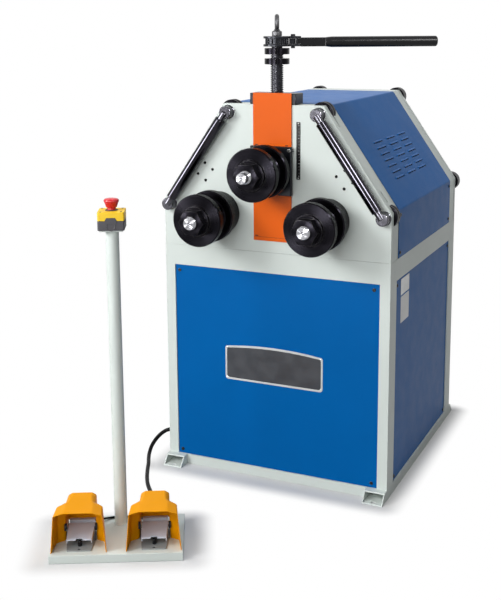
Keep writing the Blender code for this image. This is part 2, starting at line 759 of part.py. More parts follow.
def gear_motor(root):
    z = LOWER_ROLL_Z
    drive = bevel(box("gear_motor", (-GEARBOX_HALF, GEARBOX_FRONT, DECK_TOP + GAP),
                      (GEARBOX_HALF, GEARBOX_REAR, z + GEARBOX_RISE)), 0.008)
    motor = turned("motor", [(0, -GEARBOX_REAR + PAST), (MOTOR_RADIUS, -GEARBOX_REAR + PAST),
                             (MOTOR_RADIUS, -MOTOR_REAR + 0.050), (MOTOR_RADIUS - 0.006, -MOTOR_REAR + 0.050),
                             (MOTOR_RADIUS - 0.006, -MOTOR_REAR + 0.008), (MOTOR_RADIUS - 0.014, -MOTOR_REAR),
                             (0, -MOTOR_REAR)], 20)
    join(drive, facing_front(motor, 0, z))
    join(drive, box("terminal_box", (-0.040, 0.410, z + 0.050), (0.040, 0.500, z + 0.105)))
    join(drive, box("motor_foot", (-0.050, 0.430, DECK_TOP + GAP), (0.050, 0.480, z - 0.050)))
    join(drive, bar("drive_shaft", DRIVE_SHAFT_RADIUS, (0, GEAR_FRONT - 0.005, z), (0, GEARBOX_FRONT + PAST, z), 16))
    dress(drive, (0.12, 0.14, 0.16), root, 0.5, 0.3)


def slide(body):
    block = bevel(box("slide_block", (-SLIDE_HALF, SLIDE_FRONT, SLIDE_BOTTOM),
                      (SLIDE_HALF, COVER_FRONT - GAP, SLIDE_TOP)), 0.0015)
    join(block, box("slide_neck", (-NECK_HALF, SLIDE_FRONT + 0.005, NECK_BOTTOM),
                    (NECK_HALF, PLATE_THICK + 0.015, NECK_TOP)))
    join(block, box("slide_body", (-SLIDE_HALF + 0.0005, PLATE_THICK + 0.0005, SLIDE_BOTTOM),
                    (SLIDE_HALF - 0.0005, SLIDE_REAR, SLIDE_TOP)))
    cut(block, bar("slide_bore", JOURNAL_BORE, (0, SLIDE_FRONT - PAST, TOP_ROLL_Z),
                   (0, SLIDE_REAR + PAST, TOP_ROLL_Z), 24))
    cut(block, bar("spigot_pocket", SPIGOT_BORE, (0, SCREW_Y, SLIDE_TOP - SPIGOT_DEPTH - 0.001),
                   (0, SCREW_Y, SLIDE_TOP + PAST), 16))
    dress(block, BLACK_STEEL, body, 0.45, 0.6)
    for word, low, high in (("upper", NECK_TOP + 0.0005, COVER_TOP), ("lower", COVER_FOOT, NECK_BOTTOM - 0.0005)):
        cover = box(f"{word}_cover", (-COVER_HALF, COVER_FRONT, low), (COVER_HALF, COVER_REAR, high))
        dress(cover, PAINT_ORANGE, body, 0.4)


def slide_guide(root):
    rail = SLIDE_HALF + 0.0002
    outline = [(-GUIDE_OUTER, GUIDE_FOOT), (GUIDE_OUTER, GUIDE_FOOT), (GUIDE_OUTER, GUIDE_TOP), (rail, GUIDE_TOP),
               (rail, GUIDE_SILL), (-rail, GUIDE_SILL), (-rail, GUIDE_TOP), (-GUIDE_OUTER, GUIDE_TOP)]
    dress(slab("slide_guide", [outline], PLATE_THICK + GAP, GUIDE_REAR), BLACK_STEEL, root, 0.45, 0.7)


def nut_block(root):
    block = bevel(box("nut_block", (-NUT_BLOCK_HALF, GAP, NUT_BLOCK_BOTTOM),
                      (NUT_BLOCK_HALF, NUT_BLOCK_REAR, NUT_BLOCK_TOP)), 0.0015)
    cut(block, bar("nut_block_thread", SCREW_BORE, (0, SCREW_Y, NUT_BLOCK_BOTTOM - PAST),
                   (0, SCREW_Y, NUT_BLOCK_TOP + PAST), 20))
    dress(block, (0.10, 0.11, 0.12), root, 0.4, 0.8)


def on_screw(piece):
    return move(piece, Matrix.Translation((0, SCREW_Y, 0)))


def lift_screw(spin):
    base = SLIDE_TOP + GAP
    profile = [(0, SCREW_TOP), (SCREW_NECK_RADIUS, SCREW_TOP), (SCREW_NECK_RADIUS, SCREW_SHOULDER),
               (SCREW_RADIUS, SCREW_SHOULDER), (SCREW_RADIUS, base + SCREW_COLLAR_HEIGHT),
               (SCREW_COLLAR_RADIUS, base + SCREW_COLLAR_HEIGHT), (SCREW_COLLAR_RADIUS, base),
               (SPIGOT_RADIUS, base), (SPIGOT_RADIUS, SLIDE_TOP - SPIGOT_DEPTH), (0, SLIDE_TOP - SPIGOT_DEPTH)]
    dress(on_screw(turned("lift_screw", profile, 20)), BLACK_STEEL, spin, 0.35, 0.8)
    for name, (low, high) in (("stop_nut", STOP_NUT), ("lock_nut", LOCK_NUT)):
        nut = turned(name, [(RING_NUT_RADIUS - 0.001, high), (RING_NUT_RADIUS, high - 0.001),
                            (RING_NUT_RADIUS, low + 0.001), (RING_NUT_RADIUS - 0.001, low),
                            (SCREW_BORE, low), (SCREW_BORE, high)], 20, bore=True)
        for turn in (0, 1):
            slot = box(f"{name}_slot_{turn}", (-RING_NUT_RADIUS - PAST, -0.003, low - PAST),
                       (RING_NUT_RADIUS + PAST, 0.003, high + PAST))
            cut(slot, bar(f"{name}_core_{turn}", RING_NUT_RADIUS - 0.004, (0, 0, low - 2 * PAST),
                          (0, 0, high + 2 * PAST), 12))
            move(slot, Matrix.Rotation(turn * math.pi / 2 + math.radians(20), 4, "Z"))
            cut(nut, slot)
        dress(on_screw(nut), BLACK_STEEL, spin, 0.35, 0.8)


def ratchet_outline():
    points = []
    for tooth in range(RATCHET_TEETH):
        middle = math.radians(LEVER_ANGLE) + (tooth + 0.5) * 2 * math.pi / RATCHET_TEETH
        for radius, degrees in ((RATCHET_ROOT_RADIUS, -5), (RATCHET_TIP_RADIUS, -2.2), (RATCHET_TIP_RADIUS, 2.2),
                                (RATCHET_ROOT_RADIUS, 5)):
            angle = middle + math.radians(degrees)
            points.append((radius * math.cos(angle), radius * math.sin(angle)))
    return points


def ratchet(spin, lever_swing, pawl_axis):
    wheel = slab("ratchet_wheel", [ratchet_outline(), hole(0, 0, SCREW_NECK_BORE, 16)], *RATCHET, axis="Z")
    dress(on_screw(wheel), BLACK_STEEL, spin, 0.35, 0.8)

    lean = math.asin(FORK_ARM_HALF / FORK_RADIUS)
    arm = ring(0, 0, FORK_RADIUS, 20, lean, 2 * math.pi - 2 * lean)
    arm += [(FORK_END, -FORK_ARM_HALF), (FORK_END, FORK_ARM_HALF)]
    bore = hole(0, 0, SCREW_NECK_BORE, 16)
    fork = slab("ratchet_fork", [arm, bore], *FORK_LOWER, axis="Z")
    join(fork, slab("fork_upper", [arm, bore], *FORK_UPPER, axis="Z"))
    join(fork, box("fork_web", (FORK_WEB[0], -FORK_ARM_HALF + 0.001, FORK_LOWER[1] - 0.002),
                   (FORK_WEB[1], FORK_ARM_HALF - 0.001, FORK_UPPER[0] + 0.002)))
    dress(move(fork, LEVER_FRAME), BLACK_STEEL, lever_swing, 0.35, 0.8)

    nose = [(-PAWL_NOSE, -PAWL_NOSE_HALF), (-0.003, -0.0055), (0.004, -0.005), (0.0068, 0),
            (0.004, 0.005), (-0.003, 0.0055), (-PAWL_NOSE, PAWL_NOSE_HALF)]
    pawl = slab("pawl", [[(PAWL_PIVOT + x, y) for x, y in nose]], RATCHET[0], RATCHET[1], axis="Z")
    dress(move(pawl, LEVER_FRAME), BLACK_STEEL, pawl_axis, 0.35, 0.8)


def lever(lever_swing):
    half = LEVER_BAR_TALL / 2
    tongue = (RATCHET[1] - RATCHET[0]) / 2
    outline = [(LEVER_TONGUE, -tongue), (LEVER_BAR_START, -tongue), (LEVER_BAR_START, -half),
               (LEVER_TUBE_START + 0.010, -half), (LEVER_TUBE_START + 0.010, half),
               (LEVER_BAR_START, half), (LEVER_BAR_START, tongue), (LEVER_TONGUE, tongue)]
    middle = (RATCHET[0] + RATCHET[1]) / 2
    outline = [(x, z + (middle if x < LEVER_BAR_START + 0.001 and abs(z) == tongue else LEVER_HEIGHT))
               for x, z in outline]
    handle = slab("lever", [outline], -LEVER_BAR_THICK / 2, LEVER_BAR_THICK / 2)
    steps = 4
    dome = [(LEVER_TUBE_RADIUS - 0.006 + 0.006 * math.sin(math.pi / 2 * i / steps),
             LEVER_END - 0.006 + 0.006 * math.cos(math.pi / 2 * i / steps)) for i in range(steps + 1)]
    tube = turned("lever_tube", [(0, LEVER_END)] + dome + [(LEVER_TUBE_RADIUS, LEVER_TUBE_START + 0.003),
                                                           (LEVER_TUBE_RADIUS - 0.003, LEVER_TUBE_START),
                                                           (0, LEVER_TUBE_START)], 16)
    move(tube, Matrix.Translation((0, 0, LEVER_HEIGHT)) @ Matrix.Rotation(math.pi / 2, 4, "Y"))
    join(handle, tube)
    dress(move(handle, LEVER_FRAME), BLACK_STEEL, lever_swing, 0.3, 0.5)


def eyebolt(spin):
    low, high = EYE_COLLAR
    collar = turned("eyebolt", [(0, high + 0.004), (0.007, high + 0.004), (0.009, high), (EYE_COLLAR_RADIUS, high),
                                (EYE_COLLAR_RADIUS, low), (0, low)], 16)
    ring_height = EYE_TOP - EYE_RING_RADIUS - EYE_WIRE_RADIUS
    curve = bpy.data.curves.new("eye", "CURVE")
    curve.dimensions = "3D"
    curve.bevel_depth = EYE_WIRE_RADIUS
    curve.bevel_resolution = 2
    spline = curve.splines.new("POLY")
    points = ring(0, 0, EYE_RING_RADIUS, 16)
    spline.points.add(len(points) - 1)
    for point, (u, v) in zip(spline.points, points):
        point.co = (u, 0, ring_height + v, 1)
    spline.use_cyclic_u = True
    eye = as_mesh(add("eye_outline", curve))
    join(collar, eye)
    move(collar, Matrix.Rotation(math.radians(EYE_ANGLE), 4, "Z"))
    dress(on_screw(collar), BLACK_STEEL, spin, 0.35, 0.8)


def guide_rods(root, left_spin, right_spin):
    for word, side, spin in (("left", -1, left_spin), ("right", 1, right_spin)):
        ends = [Vector((side * x, ROD_Y, z)) for x, z in ROD_ENDS]
        along = (ends[1] - ends[0]).normalized()
        rail = bar(f"{word}_guide_rod", ROD_RADIUS, ends[0], ends[1], 16)
        for count, end in enumerate(ends):
            foot = bar(f"{word}_standoff_{count}", STANDOFF_RADIUS, (end.x, STANDOFF_FRONT, end.z),
                       (end.x, -GAP, end.z), 20)
            join(rail, foot)
        dress(rail, BLACK_STEEL, root, 0.3, 0.9)
        length = SLEEVE_SPAN[1] - SLEEVE_SPAN[0]
        profile = [(SLEEVE_RADIUS - 0.0015, length), (SLEEVE_RADIUS, length - 0.0015), (SLEEVE_RADIUS, 0.0015),
                   (SLEEVE_RADIUS - 0.0015, 0), (SLEEVE_BORE, 0), (SLEEVE_BORE, length)]
        sleeve = turned(f"{word}_guide_sleeve", profile, 20, bore=True)
        turn = along.to_track_quat("Z", "Y").to_matrix().to_4x4()
        move(sleeve, Matrix.Translation(ends[0] + along * SLEEVE_SPAN[0]) @ turn)
        dress(sleeve, (0.30, 0.30, 0.33), spin, 0.12, 1.0)


def control_gear(root):
    dress(bevel(box("control_box", *CONTROL_BOX), 0.004), (0.45, 0.47, 0.47), root, 0.5)
    sheet = HALF_WIDTH - PANEL_RECESS
    profile = [(0, GLAND_OUTER), (0.0065, GLAND_OUTER), (0.009, GLAND_OUTER - 0.006), (0.0095, sheet + 0.012),
               (0.012, sheet + 0.012), (0.012, sheet + GAP), (GLAND_THREAD_RADIUS, sheet + GAP),
               (GLAND_THREAD_RADIUS, sheet - 0.012), (0, sheet - 0.012)]
    gland = turned("cable_gland", profile, 12)
    move(gland, Matrix.Translation((0, *GLAND_PLACE)) @ Matrix.Rotation(-math.pi / 2, 4, "Y"))
    dress(gland, BLACK_STEEL, root, 0.5)


def on_stand(piece):
    return move(piece, STAND_FRAME)


def stand(root):
    half = STAND_WIDTH / 2
    base = tray("stand_base", (-half, 0, 0), (half, STAND_DEPTH, STAND_HEIGHT), (0, 0, -1), STAND_SHEET)
    dress(on_stand(base), PAINT_GREY, root, 0.45)
    foot = STAND_HEIGHT + GAP
    post = bar("stand_post", POST_RADIUS, (0, POST_Y, foot), (0, POST_Y, POST_TOP - 0.001), 24)
    join(post, box("post_head", (-POST_HEAD_HALF, POST_Y - POST_HEAD_HALF, POST_TOP - POST_HEAD_THICK),
                   (POST_HEAD_HALF, POST_Y + POST_HEAD_HALF, POST_TOP)))
    dress(on_stand(post), PAINT_GREY, root, 0.45)


def estop(root, press):
    y = POST_Y
    low = (-BOX_HALF, y - BOX_HALF, BOX_BOTTOM)
    high = (BOX_HALF, y + BOX_HALF, BOX_SPLIT - GAP)
    base = round_uprights(box("estop_base", low, high))
    cut(base, box("estop_pocket", (-BOX_HALF + BOX_WALL, y - BOX_HALF + BOX_WALL, BOX_BOTTOM + BOX_WALL),
                  (BOX_HALF - BOX_WALL, y + BOX_HALF - BOX_WALL, BOX_SPLIT + PAST)))
    join(base, box("contact_block", (-0.015, y - 0.015, BOX_BOTTOM + BOX_WALL / 2), (0.015, y + 0.015, CONTACT_TOP)))
    dress(on_stand(base), (0.08, 0.08, 0.09), root, 0.5)

    cover = box("estop_cover", (-BOX_HALF, y - BOX_HALF, BOX_SPLIT), (BOX_HALF, y + BOX_HALF, BOX_TOP))
    round_uprights(cover)
    cut(cover, box("cover_hollow", (-BOX_HALF + BOX_WALL, y - BOX_HALF + BOX_WALL, BOX_SPLIT - PAST),
                   (BOX_HALF - BOX_WALL, y + BOX_HALF - BOX_WALL, BOX_TOP - BOX_WALL)))
    cut(cover, bar("button_hole", BUTTON_STEM_BORE, (0, y, BOX_SPLIT), (0, y, BOX_TOP + PAST), 24))
    dress(on_stand(cover), (0.93, 0.58, 0.03), root, 0.4)

    profile = [(0, BUTTON_TOP), (0.010, BUTTON_TOP), (0.0165, BUTTON_TOP - 0.0015), (0.019, BUTTON_TOP - 0.004),
               (BUTTON_RADIUS, BUTTON_TOP - 0.007), (0.0185, BUTTON_TOP - 0.0095), (0.0140, BOX_TOP + 0.0073),
               (BUTTON_STEM_RADIUS, BOX_TOP + 0.0073), (BUTTON_STEM_RADIUS, BUTTON_STEM_FOOT), (0, BUTTON_STEM_FOOT)]
    button = move(turned("estop_button", profile, 20), Matrix.Translation((0, y, 0)))
    dress(on_stand(button), (0.75, 0.01, 0.03), press, 0.35)


# Guard sections from front to rear: (y, foot half, shoulder half, shoulder height, top half, top height)
GUARD_SECTIONS = (
    (GUARD_FRONT, 0.0710, 0.0620, 0.1225, 0.0362, 0.1305),
    (GUARD_WIDE_END, 0.0640, 0.0590, 0.1225, 0.0350, 0.1305),
    (GUARD_NARROW_START, 0.0420, 0.0385, 0.1240, 0.0300, 0.1310),
    (GUARD_REAR, 0.0400, 0.0370, 0.1240, 0.0260, 0.1310),
)


def guard(name, x, root):
    form = bmesh.new()
    rows = []
    for y, foot_half, shoulder_half, shoulder, top_half, top in GUARD_SECTIONS:
        points = [(foot_half, STAND_HEIGHT + GAP), (shoulder_half, shoulder), (top_half, top), (0, top)]
        rows.append([form.verts.new((u, y, z)) for u, z in points])
    for near, far in zip(rows, rows[1:]):
        for i in range(len(near) - 1):
            form.faces.new((near[i], far[i], far[i + 1], near[i + 1]))
    rear = rows[-1]
    lean = (GUARD_HATCH - rear[0].co.z) / (rear[1].co.z - rear[0].co.z)
    hatch = rear[0].co.lerp(rear[1].co, lean)
    split = form.verts.new(hatch)
    for face in [f for f in form.faces if rear[0] in f.verts]:
        loop = [vert for vert in face.verts]
        spot = loop.index(rear[0])
        after = loop[(spot + 1) % len(loop)]
        place = spot + 1 if after == rear[1] else spot
        loop.insert(place, split)
        form.faces.remove(face)
        form.faces.new(loop)
    middle = form.verts.new((0, rear[0].co.y, GUARD_HATCH))
    form.faces.new((split, middle, rear[3], rear[2], rear[1]))
    bmesh.ops.recalc_face_normals(form, faces=form.faces)
    if max(form.faces, key=lambda face: face.calc_center_median().z).normal.z < 0:
        bmesh.ops.reverse_faces(form, faces=form.faces)
    mesh = bpy.data.meshes.new(name)
    form.to_mesh(mesh)
    form.free()
    piece = add(name, mesh)
    halves = piece.modifiers.new("halves", "MIRROR")
    halves.merge_threshold = MERGE
    halves.use_clip = True
    thicken(piece, GUARD_SHEET)
    move(piece, Matrix.Translation((x, 0, 0)))
    dress(on_stand(piece), PAINT_AMBER, root, 0.35)


def pedal(word, x, root, hinge):
    foot = STAND_HEIGHT + GAP
    base = box(f"{word}_pedal_base", (-PEDAL_HALF, PEDAL_FRONT, foot), (PEDAL_HALF, PEDAL_REAR, foot + PEDAL_SHEET))
    join(base, box(f"{word}_switch", (-SWITCH_HALF, SWITCH_FRONT, foot + PEDAL_SHEET / 2),
                   (SWITCH_HALF, PEDAL_REAR, SWITCH_TOP)))
    join(base, bar(f"{word}_contact", 0.008, (0, CONTACT_BUTTON_Y, foot + PEDAL_SHEET / 2),
                   (0, CONTACT_BUTTON_Y, 0.040), 16))
    cut(base, bar(f"{word}_mounting_hole", 0.003, (0, 0.026, foot - PAST), (0, 0.026, foot + PAST), 10))
    move(base, Matrix.Translation((x, 0, 0)))
    dress(on_stand(base), (0.42, 0.43, 0.44), root, 0.5, 0.4)

    top = TREADLE_TOP
    form = bmesh.new()
    rows = []
    for side in (-1, 1):
        rows.append([form.verts.new((side * TREADLE_HALF, y, z)) for y, z in top])
        rows.append([form.verts.new((side * TREADLE_HALF, y, z - TREADLE_SKIRT)) for y, z in top])
    left_top, left_skirt, right_top, right_skirt = rows
    for i in range(len(top) - 1):
        form.faces.new((left_top[i], right_top[i], right_top[i + 1], left_top[i + 1]))
        form.faces.new((left_skirt[i], left_top[i], left_top[i + 1], left_skirt[i + 1]))
        form.faces.new((right_top[i], right_skirt[i], right_skirt[i + 1], right_top[i + 1]))
    form.faces.new((left_top[0], left_skirt[0], right_skirt[0], right_top[0]))
    bmesh.ops.recalc_face_normals(form, faces=form.faces)
    if max(form.faces, key=lambda face: face.calc_center_median().z).normal.z < 0:
        bmesh.ops.reverse_faces(form, faces=form.faces)
    mesh = bpy.data.meshes.new(f"{word}_treadle")
    form.to_mesh(mesh)
    form.free()
    treadle = thicken(add(f"{word}_treadle", mesh), TREADLE_SHEET)
    move(treadle, Matrix.Translation((x, 0, 0)))
    dress(on_stand(treadle), (0.50, 0.50, 0.51), hinge, 0.4, 0.3)


# A smooth curve through the route's own points, read off at an even spacing
def smooth_route(route, spacing):
    points = [Vector(place) for place in route]
    fine = []
    for i in range(len(points) - 1):
        before = points[max(i - 1, 0)]
        after = points[min(i + 2, len(points) - 1)]
        start = points[i]
        end = points[i + 1]
        for step in range(24):
            t = step / 24
            pull_in = (end - before) / 2
            pull_out = (after - start) / 2
            fine.append(start * (2 * t**3 - 3 * t**2 + 1) + pull_in * (t**3 - 2 * t**2 + t)
                        + end * (3 * t**2 - 2 * t**3) + pull_out * (t**3 - t**2))
    fine.append(points[-1])
    lengths = [0.0]
    for a, b in zip(fine, fine[1:]):
        lengths.append(lengths[-1] + (b - a).length)
    count = round(lengths[-1] / spacing)
    even = []
    spot = 0
    for i in range(count + 1):
        target = lengths[-1] * i / count
        while spot < len(fine) - 2 and lengths[spot + 1] < target:
            spot += 1
        share = (target - lengths[spot]) / (lengths[spot + 1] - lengths[spot])
        even.append(fine[spot].lerp(fine[spot + 1], share))
    return even


def cable(name, route, radius, root):
    curve = bpy.data.curves.new(name, "CURVE")
    curve.dimensions = "3D"
    curve.bevel_depth = radius
    curve.bevel_resolution = 2
    curve.use_fill_caps = True
    points = smooth_route(route, 4.4 * radius)
    spline = curve.splines.new("POLY")
    spline.points.add(len(points) - 1)
    for point, place in zip(spline.points, points):
        point.co = (*place, 1)
    dress(add(name, curve), (0.015, 0.015, 0.015), root, 0.5)


def stand_point(x, y, z):
    return STAND_FRAME @ Vector((x, y, z))


def cables(root):
    floor = MAIN_CABLE_RADIUS + GAP
    rear = PEDAL_REAR + GAP
    gland_y, gland_z = GLAND_PLACE
    tip = GLAND_OUTER + MAIN_CABLE_GAP
    main_route = [
        (-tip, gland_y, gland_z), (-tip - 0.020, gland_y, gland_z), (-0.411, 0.077, 0.056),
        (-0.426, 0.058, 0.042), (-0.432, 0.030, 0.024), (-0.426, 0.001, 0.010),
        (-0.411, -0.030, floor), (-0.392, -0.064, floor), (-0.374, -0.100, floor), (-0.348, -0.148, floor),
        (-0.322, -0.189, floor), (-0.293, -0.225, floor), (-0.264, -0.256, 0.0075), (-0.238, -0.285, 0.012),
        (-0.217, -0.312, 0.020), stand_point(0.080, 0.212, 0.0305), stand_point(0.094, 0.184, 0.038),
        stand_point(0.103, 0.160, CABLE_HEIGHT - 0.002), stand_point(0.105, rear + 0.020, CABLE_HEIGHT),
        stand_point(0.105, rear, CABLE_HEIGHT),
    ]
    cable("main_cable", main_route, MAIN_CABLE_RADIUS, root)
    lay = STAND_HEIGHT + LINK_CABLE_RADIUS + GAP
    inner = PEDAL_X - 0.014
    half_route = [(inner, rear, 0.040), (inner, rear + 0.014, 0.040), (inner - 0.007, 0.152, 0.038),
                  (inner - 0.020, 0.166, 0.033), (inner - 0.036, 0.181, 0.029), (0.024, 0.193, lay + 0.0005)]
    link_route = [stand_point(-x, y, z) for x, y, z in half_route]
    link_route.append(stand_point(0, 0.197, lay))
    link_route += [stand_point(x, y, z) for x, y, z in reversed(half_route)]
    cable("link_cable", link_route, LINK_CABLE_RADIUS, root)


# Move the origin to the middle of the footprint, measured without the cables
def centre_on_footprint(root, left_out):
    bpy.context.view_layer.update()
    graph = bpy.context.evaluated_depsgraph_get()
    low = Vector((math.inf, math.inf, math.inf))
    high = -low
    for piece in PARTS.objects:
        if piece.type == "EMPTY" or piece.name in left_out:
            continue
        evaluated = piece.evaluated_get(graph)
        mesh = evaluated.to_mesh()
        for vertex in mesh.vertices:
            place = evaluated.matrix_world @ vertex.co
            low = Vector(map(min, low, place))
            high = Vector(map(max, high, place))
        evaluated.to_mesh_clear()
    root.location = (-(low.x + high.x) / 2, -(low.y + high.y) / 2, -low.z)
    bpy.context.view_layer.update()


LEVER_FRAME = Matrix.Translation((0, SCREW_Y, 0)) @ Matrix.Rotation(math.radians(LEVER_ANGLE), 4, "Z")
STAND_FRAME = Matrix.Translation((*STAND_PLACE, 0)) @ Matrix.Rotation(math.radians(STAND_ANGLE), 4, "Z")


def main():
    root = empty("machine")
    slide_body = empty("slide_axis", (0, 0, TOP_ROLL_Z), root)
    top_axis = empty("top_roll_axis", (0, 0, TOP_ROLL_Z), slide_body)
    left_axis = empty("left_roll_axis", (-LOWER_ROLL_X, 0, LOWER_ROLL_Z), root)
    right_axis = empty("right_roll_axis", (LOWER_ROLL_X, 0, LOWER_ROLL_Z), root)
    pinion_axis = empty("pinion_axis", (0, 0, LOWER_ROLL_Z), root)
    screw_axis = empty("screw_axis", (0, SCREW_Y, SLIDE_TOP), slide_body)
    lever_axis = empty("lever_axis", (0, SCREW_Y, LEVER_HEIGHT), slide_body, math.radians(LEVER_ANGLE))
    pawl_axis = empty("pawl_axis", LEVER_FRAME @ Vector((PAWL_PIVOT, 0, LEVER_HEIGHT)), lever_axis)
    rod_x = (ROD_ENDS[0][0] + ROD_ENDS[1][0]) / 2
    rod_z = (ROD_ENDS[0][1] + ROD_ENDS[1][1]) / 2
    left_rod = empty("left_rod_axis", (-rod_x, ROD_Y, rod_z), root)
    right_rod = empty("right_rod_axis", (rod_x, ROD_Y, rod_z), root)
    button_axis = empty("button_axis", stand_point(0, POST_Y, BUTTON_TOP), root)

    base_frame(root)
    panels(root)
    front_plate(root)
    front_band(root)
    rear_plate(root)
    hood(root)
    tie_bars(root)
    rolls(top_axis, left_axis, right_axis)
    bearings(root)
    gears(left_axis, right_axis, pinion_axis)
    gear_motor(root)
    slide(slide_body)
    slide_guide(root)
    nut_block(root)
    lift_screw(screw_axis)
    ratchet(screw_axis, lever_axis, pawl_axis)
    lever(lever_axis)
    eyebolt(screw_axis)
    guide_rods(root, left_rod, right_rod)
    control_gear(root)
    stand(root)
    estop(root, button_axis)
    for word, x in (("left", -PEDAL_X), ("right", PEDAL_X)):
        guard(f"{word}_guard", x, root)
        hinge = empty(f"{word}_treadle_axis", stand_point(x, *TREADLE_HINGE), root, math.radians(STAND_ANGLE))
        pedal(word, x, root, hinge)
    cables(root)
    centre_on_footprint(root, ("main_cable", "link_cable"))


main()
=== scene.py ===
import math

import bmesh
import bpy
from mathutils import Matrix, Vector


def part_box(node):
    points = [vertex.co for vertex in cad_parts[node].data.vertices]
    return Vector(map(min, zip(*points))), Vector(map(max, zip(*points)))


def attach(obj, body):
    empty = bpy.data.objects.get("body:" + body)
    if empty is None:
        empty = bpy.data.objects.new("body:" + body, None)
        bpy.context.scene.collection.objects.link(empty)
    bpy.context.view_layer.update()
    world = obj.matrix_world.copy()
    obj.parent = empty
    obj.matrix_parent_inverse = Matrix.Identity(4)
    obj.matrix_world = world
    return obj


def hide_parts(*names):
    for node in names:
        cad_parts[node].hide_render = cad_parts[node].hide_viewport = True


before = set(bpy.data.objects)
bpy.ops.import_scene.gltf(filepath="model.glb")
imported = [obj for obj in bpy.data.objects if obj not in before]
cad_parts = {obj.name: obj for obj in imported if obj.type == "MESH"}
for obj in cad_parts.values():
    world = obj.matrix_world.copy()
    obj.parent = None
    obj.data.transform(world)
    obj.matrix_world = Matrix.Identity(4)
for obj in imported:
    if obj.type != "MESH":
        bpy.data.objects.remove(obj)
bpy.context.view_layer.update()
print("frame loaded:", len(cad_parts), "nodes")

layout = {
    "skidReach": 0.044,
    "stand": (-0.1731, -0.6031, 0),
    "standTurn": 27,
    "post": 0.170,
    "screwSetBack": 0.032,
    "leverTurn": 29,
}

# The machine's own origin: middle of the cabinet, its front face, the floor
frameLow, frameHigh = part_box("base_frame")
home = Vector(((frameLow.x + frameHigh.x) / 2, frameLow.y + layout["skidReach"], 0))


def at(x, y, z):
    return home + Vector((x, y, z))


def shifted(x=0.0, y=0.0, z=0.0):
    return Matrix.Translation((x, y, z))


def turned(degrees, axis):
    return Matrix.Rotation(math.radians(degrees), 4, axis)


# The form's own Z points at the viewer
def facingFront(x=0.0, z=0.0, y=0.0):
    return shifted(*at(x, y, z)) @ turned(90, "X")


sideways = turned(90, "Z") @ turned(90, "X")  # the form's own Z points to the machine's right
standFrame = shifted(*at(*layout["stand"])) @ turned(layout["standTurn"], "Z")
onPost = shifted(y=layout["post"])  # within the stand's own frame
screwFrame = shifted(*at(0, layout["screwSetBack"], 0))
leverFrame = screwFrame @ turned(layout["leverTurn"], "Z")


def setAll(thing, settings):
    for label, value in settings.items():
        setattr(thing, label, value)
    return thing


def addToScene(name, data):
    thing = bpy.data.objects.new(name, data)
    bpy.context.scene.collection.objects.link(thing)
    return thing


# camera

cameraLook = {
    "place": (1.1477, -2.6473, 1.3429),
    "yaw": 24.506,
    "down": 10.336,
    "roll": -0.344,
    "lens": {"sensor_width": 36, "lens": 61.94, "shift_x": -0.0057, "shift_y": -0.15, "clip_end": 60},
}


def setCamera(look):
    camera = addToScene("camera", setAll(bpy.data.cameras.new("camera"), look["lens"]))
    camera.matrix_world = (shifted(*at(*look["place"])) @ turned(look["yaw"], "Z")
                           @ turned(90 - look["down"], "X") @ turned(look["roll"], "Z"))
    bpy.context.scene.camera = camera


setCamera(cameraLook)
print("camera set")


# shader nodes

def tone(red, green, blue):
    def linear(value):
        value /= 255
        return value / 12.92 if value <= 0.04045 else ((value + 0.055) / 1.055) ** 2.4
    return (linear(red), linear(green), linear(blue), 1)


def wire(tree, node, wires):
    for label, value in wires.items():
        if isinstance(value, bpy.types.NodeSocket):
            tree.links.new(value, node.inputs[label])
        else:
            node.inputs[label].default_value = value
    return node


def addNode(tree, kind, wires=None, **settings):
    return wire(tree, setAll(tree.nodes.new(kind), settings), wires or {})


def blendColours(tree, factor, first, second):
    return addNode(tree, "ShaderNodeMix", {0: factor, 6: first, 7: second}, data_type="RGBA").outputs[2]


def blendValues(tree, factor, first, second):
    return addNode(tree, "ShaderNodeMix", {0: factor, 2: first, 3: second}).outputs[0]


def remap(tree, value, fromLow, fromHigh, toLow=0.0, toHigh=1.0):
    return addNode(tree, "ShaderNodeMapRange", {"Value": value, "From Min": fromLow, "From Max": fromHigh,
                                                "To Min": toLow, "To Max": toHigh}).outputs["Result"]


def calculate(tree, operation, first, second=0.0):
    return addNode(tree, "ShaderNodeMath", {0: first, 1: second}, operation=operation).outputs[0]


def vectorMath(tree, operation, first, second=(0, 0, 0)):
    result = "Value" if operation in ("LENGTH", "DOT_PRODUCT") else "Vector"
    return addNode(tree, "ShaderNodeVectorMath", {0: first, 1: second}, operation=operation).outputs[result]


def pair(tree, first, second):
    return addNode(tree, "ShaderNodeCombineXYZ", {0: first, 1: second}).outputs[0]


def noise(tree, place, scale, detail=2.0, rough=0.5):
    wires = {"Vector": place, "Scale": scale, "Detail": detail, "Roughness": rough}
    return addNode(tree, "ShaderNodeTexNoise", wires).outputs["Fac"]


def newGroup(name, **values):
    tree = bpy.data.node_groups.new(name, "ShaderNodeTree")
    tree.interface.new_socket(name="Place", in_out="INPUT", socket_type="NodeSocketVector")
    for label, value in values.items():
        kind = "NodeSocketFloat" if isinstance(value, float) else "NodeSocketVector"
        tree.interface.new_socket(name=label, in_out="INPUT", socket_type=kind).default_value = value
    return tree, tree.nodes.new("NodeGroupInput").outputs


def putOut(tree, **results):
    for label in results:
        tree.interface.new_socket(name=label, in_out="OUTPUT", socket_type="NodeSocketFloat")
    wire(tree, tree.nodes.new("NodeGroupOutput"), results)
    return tree


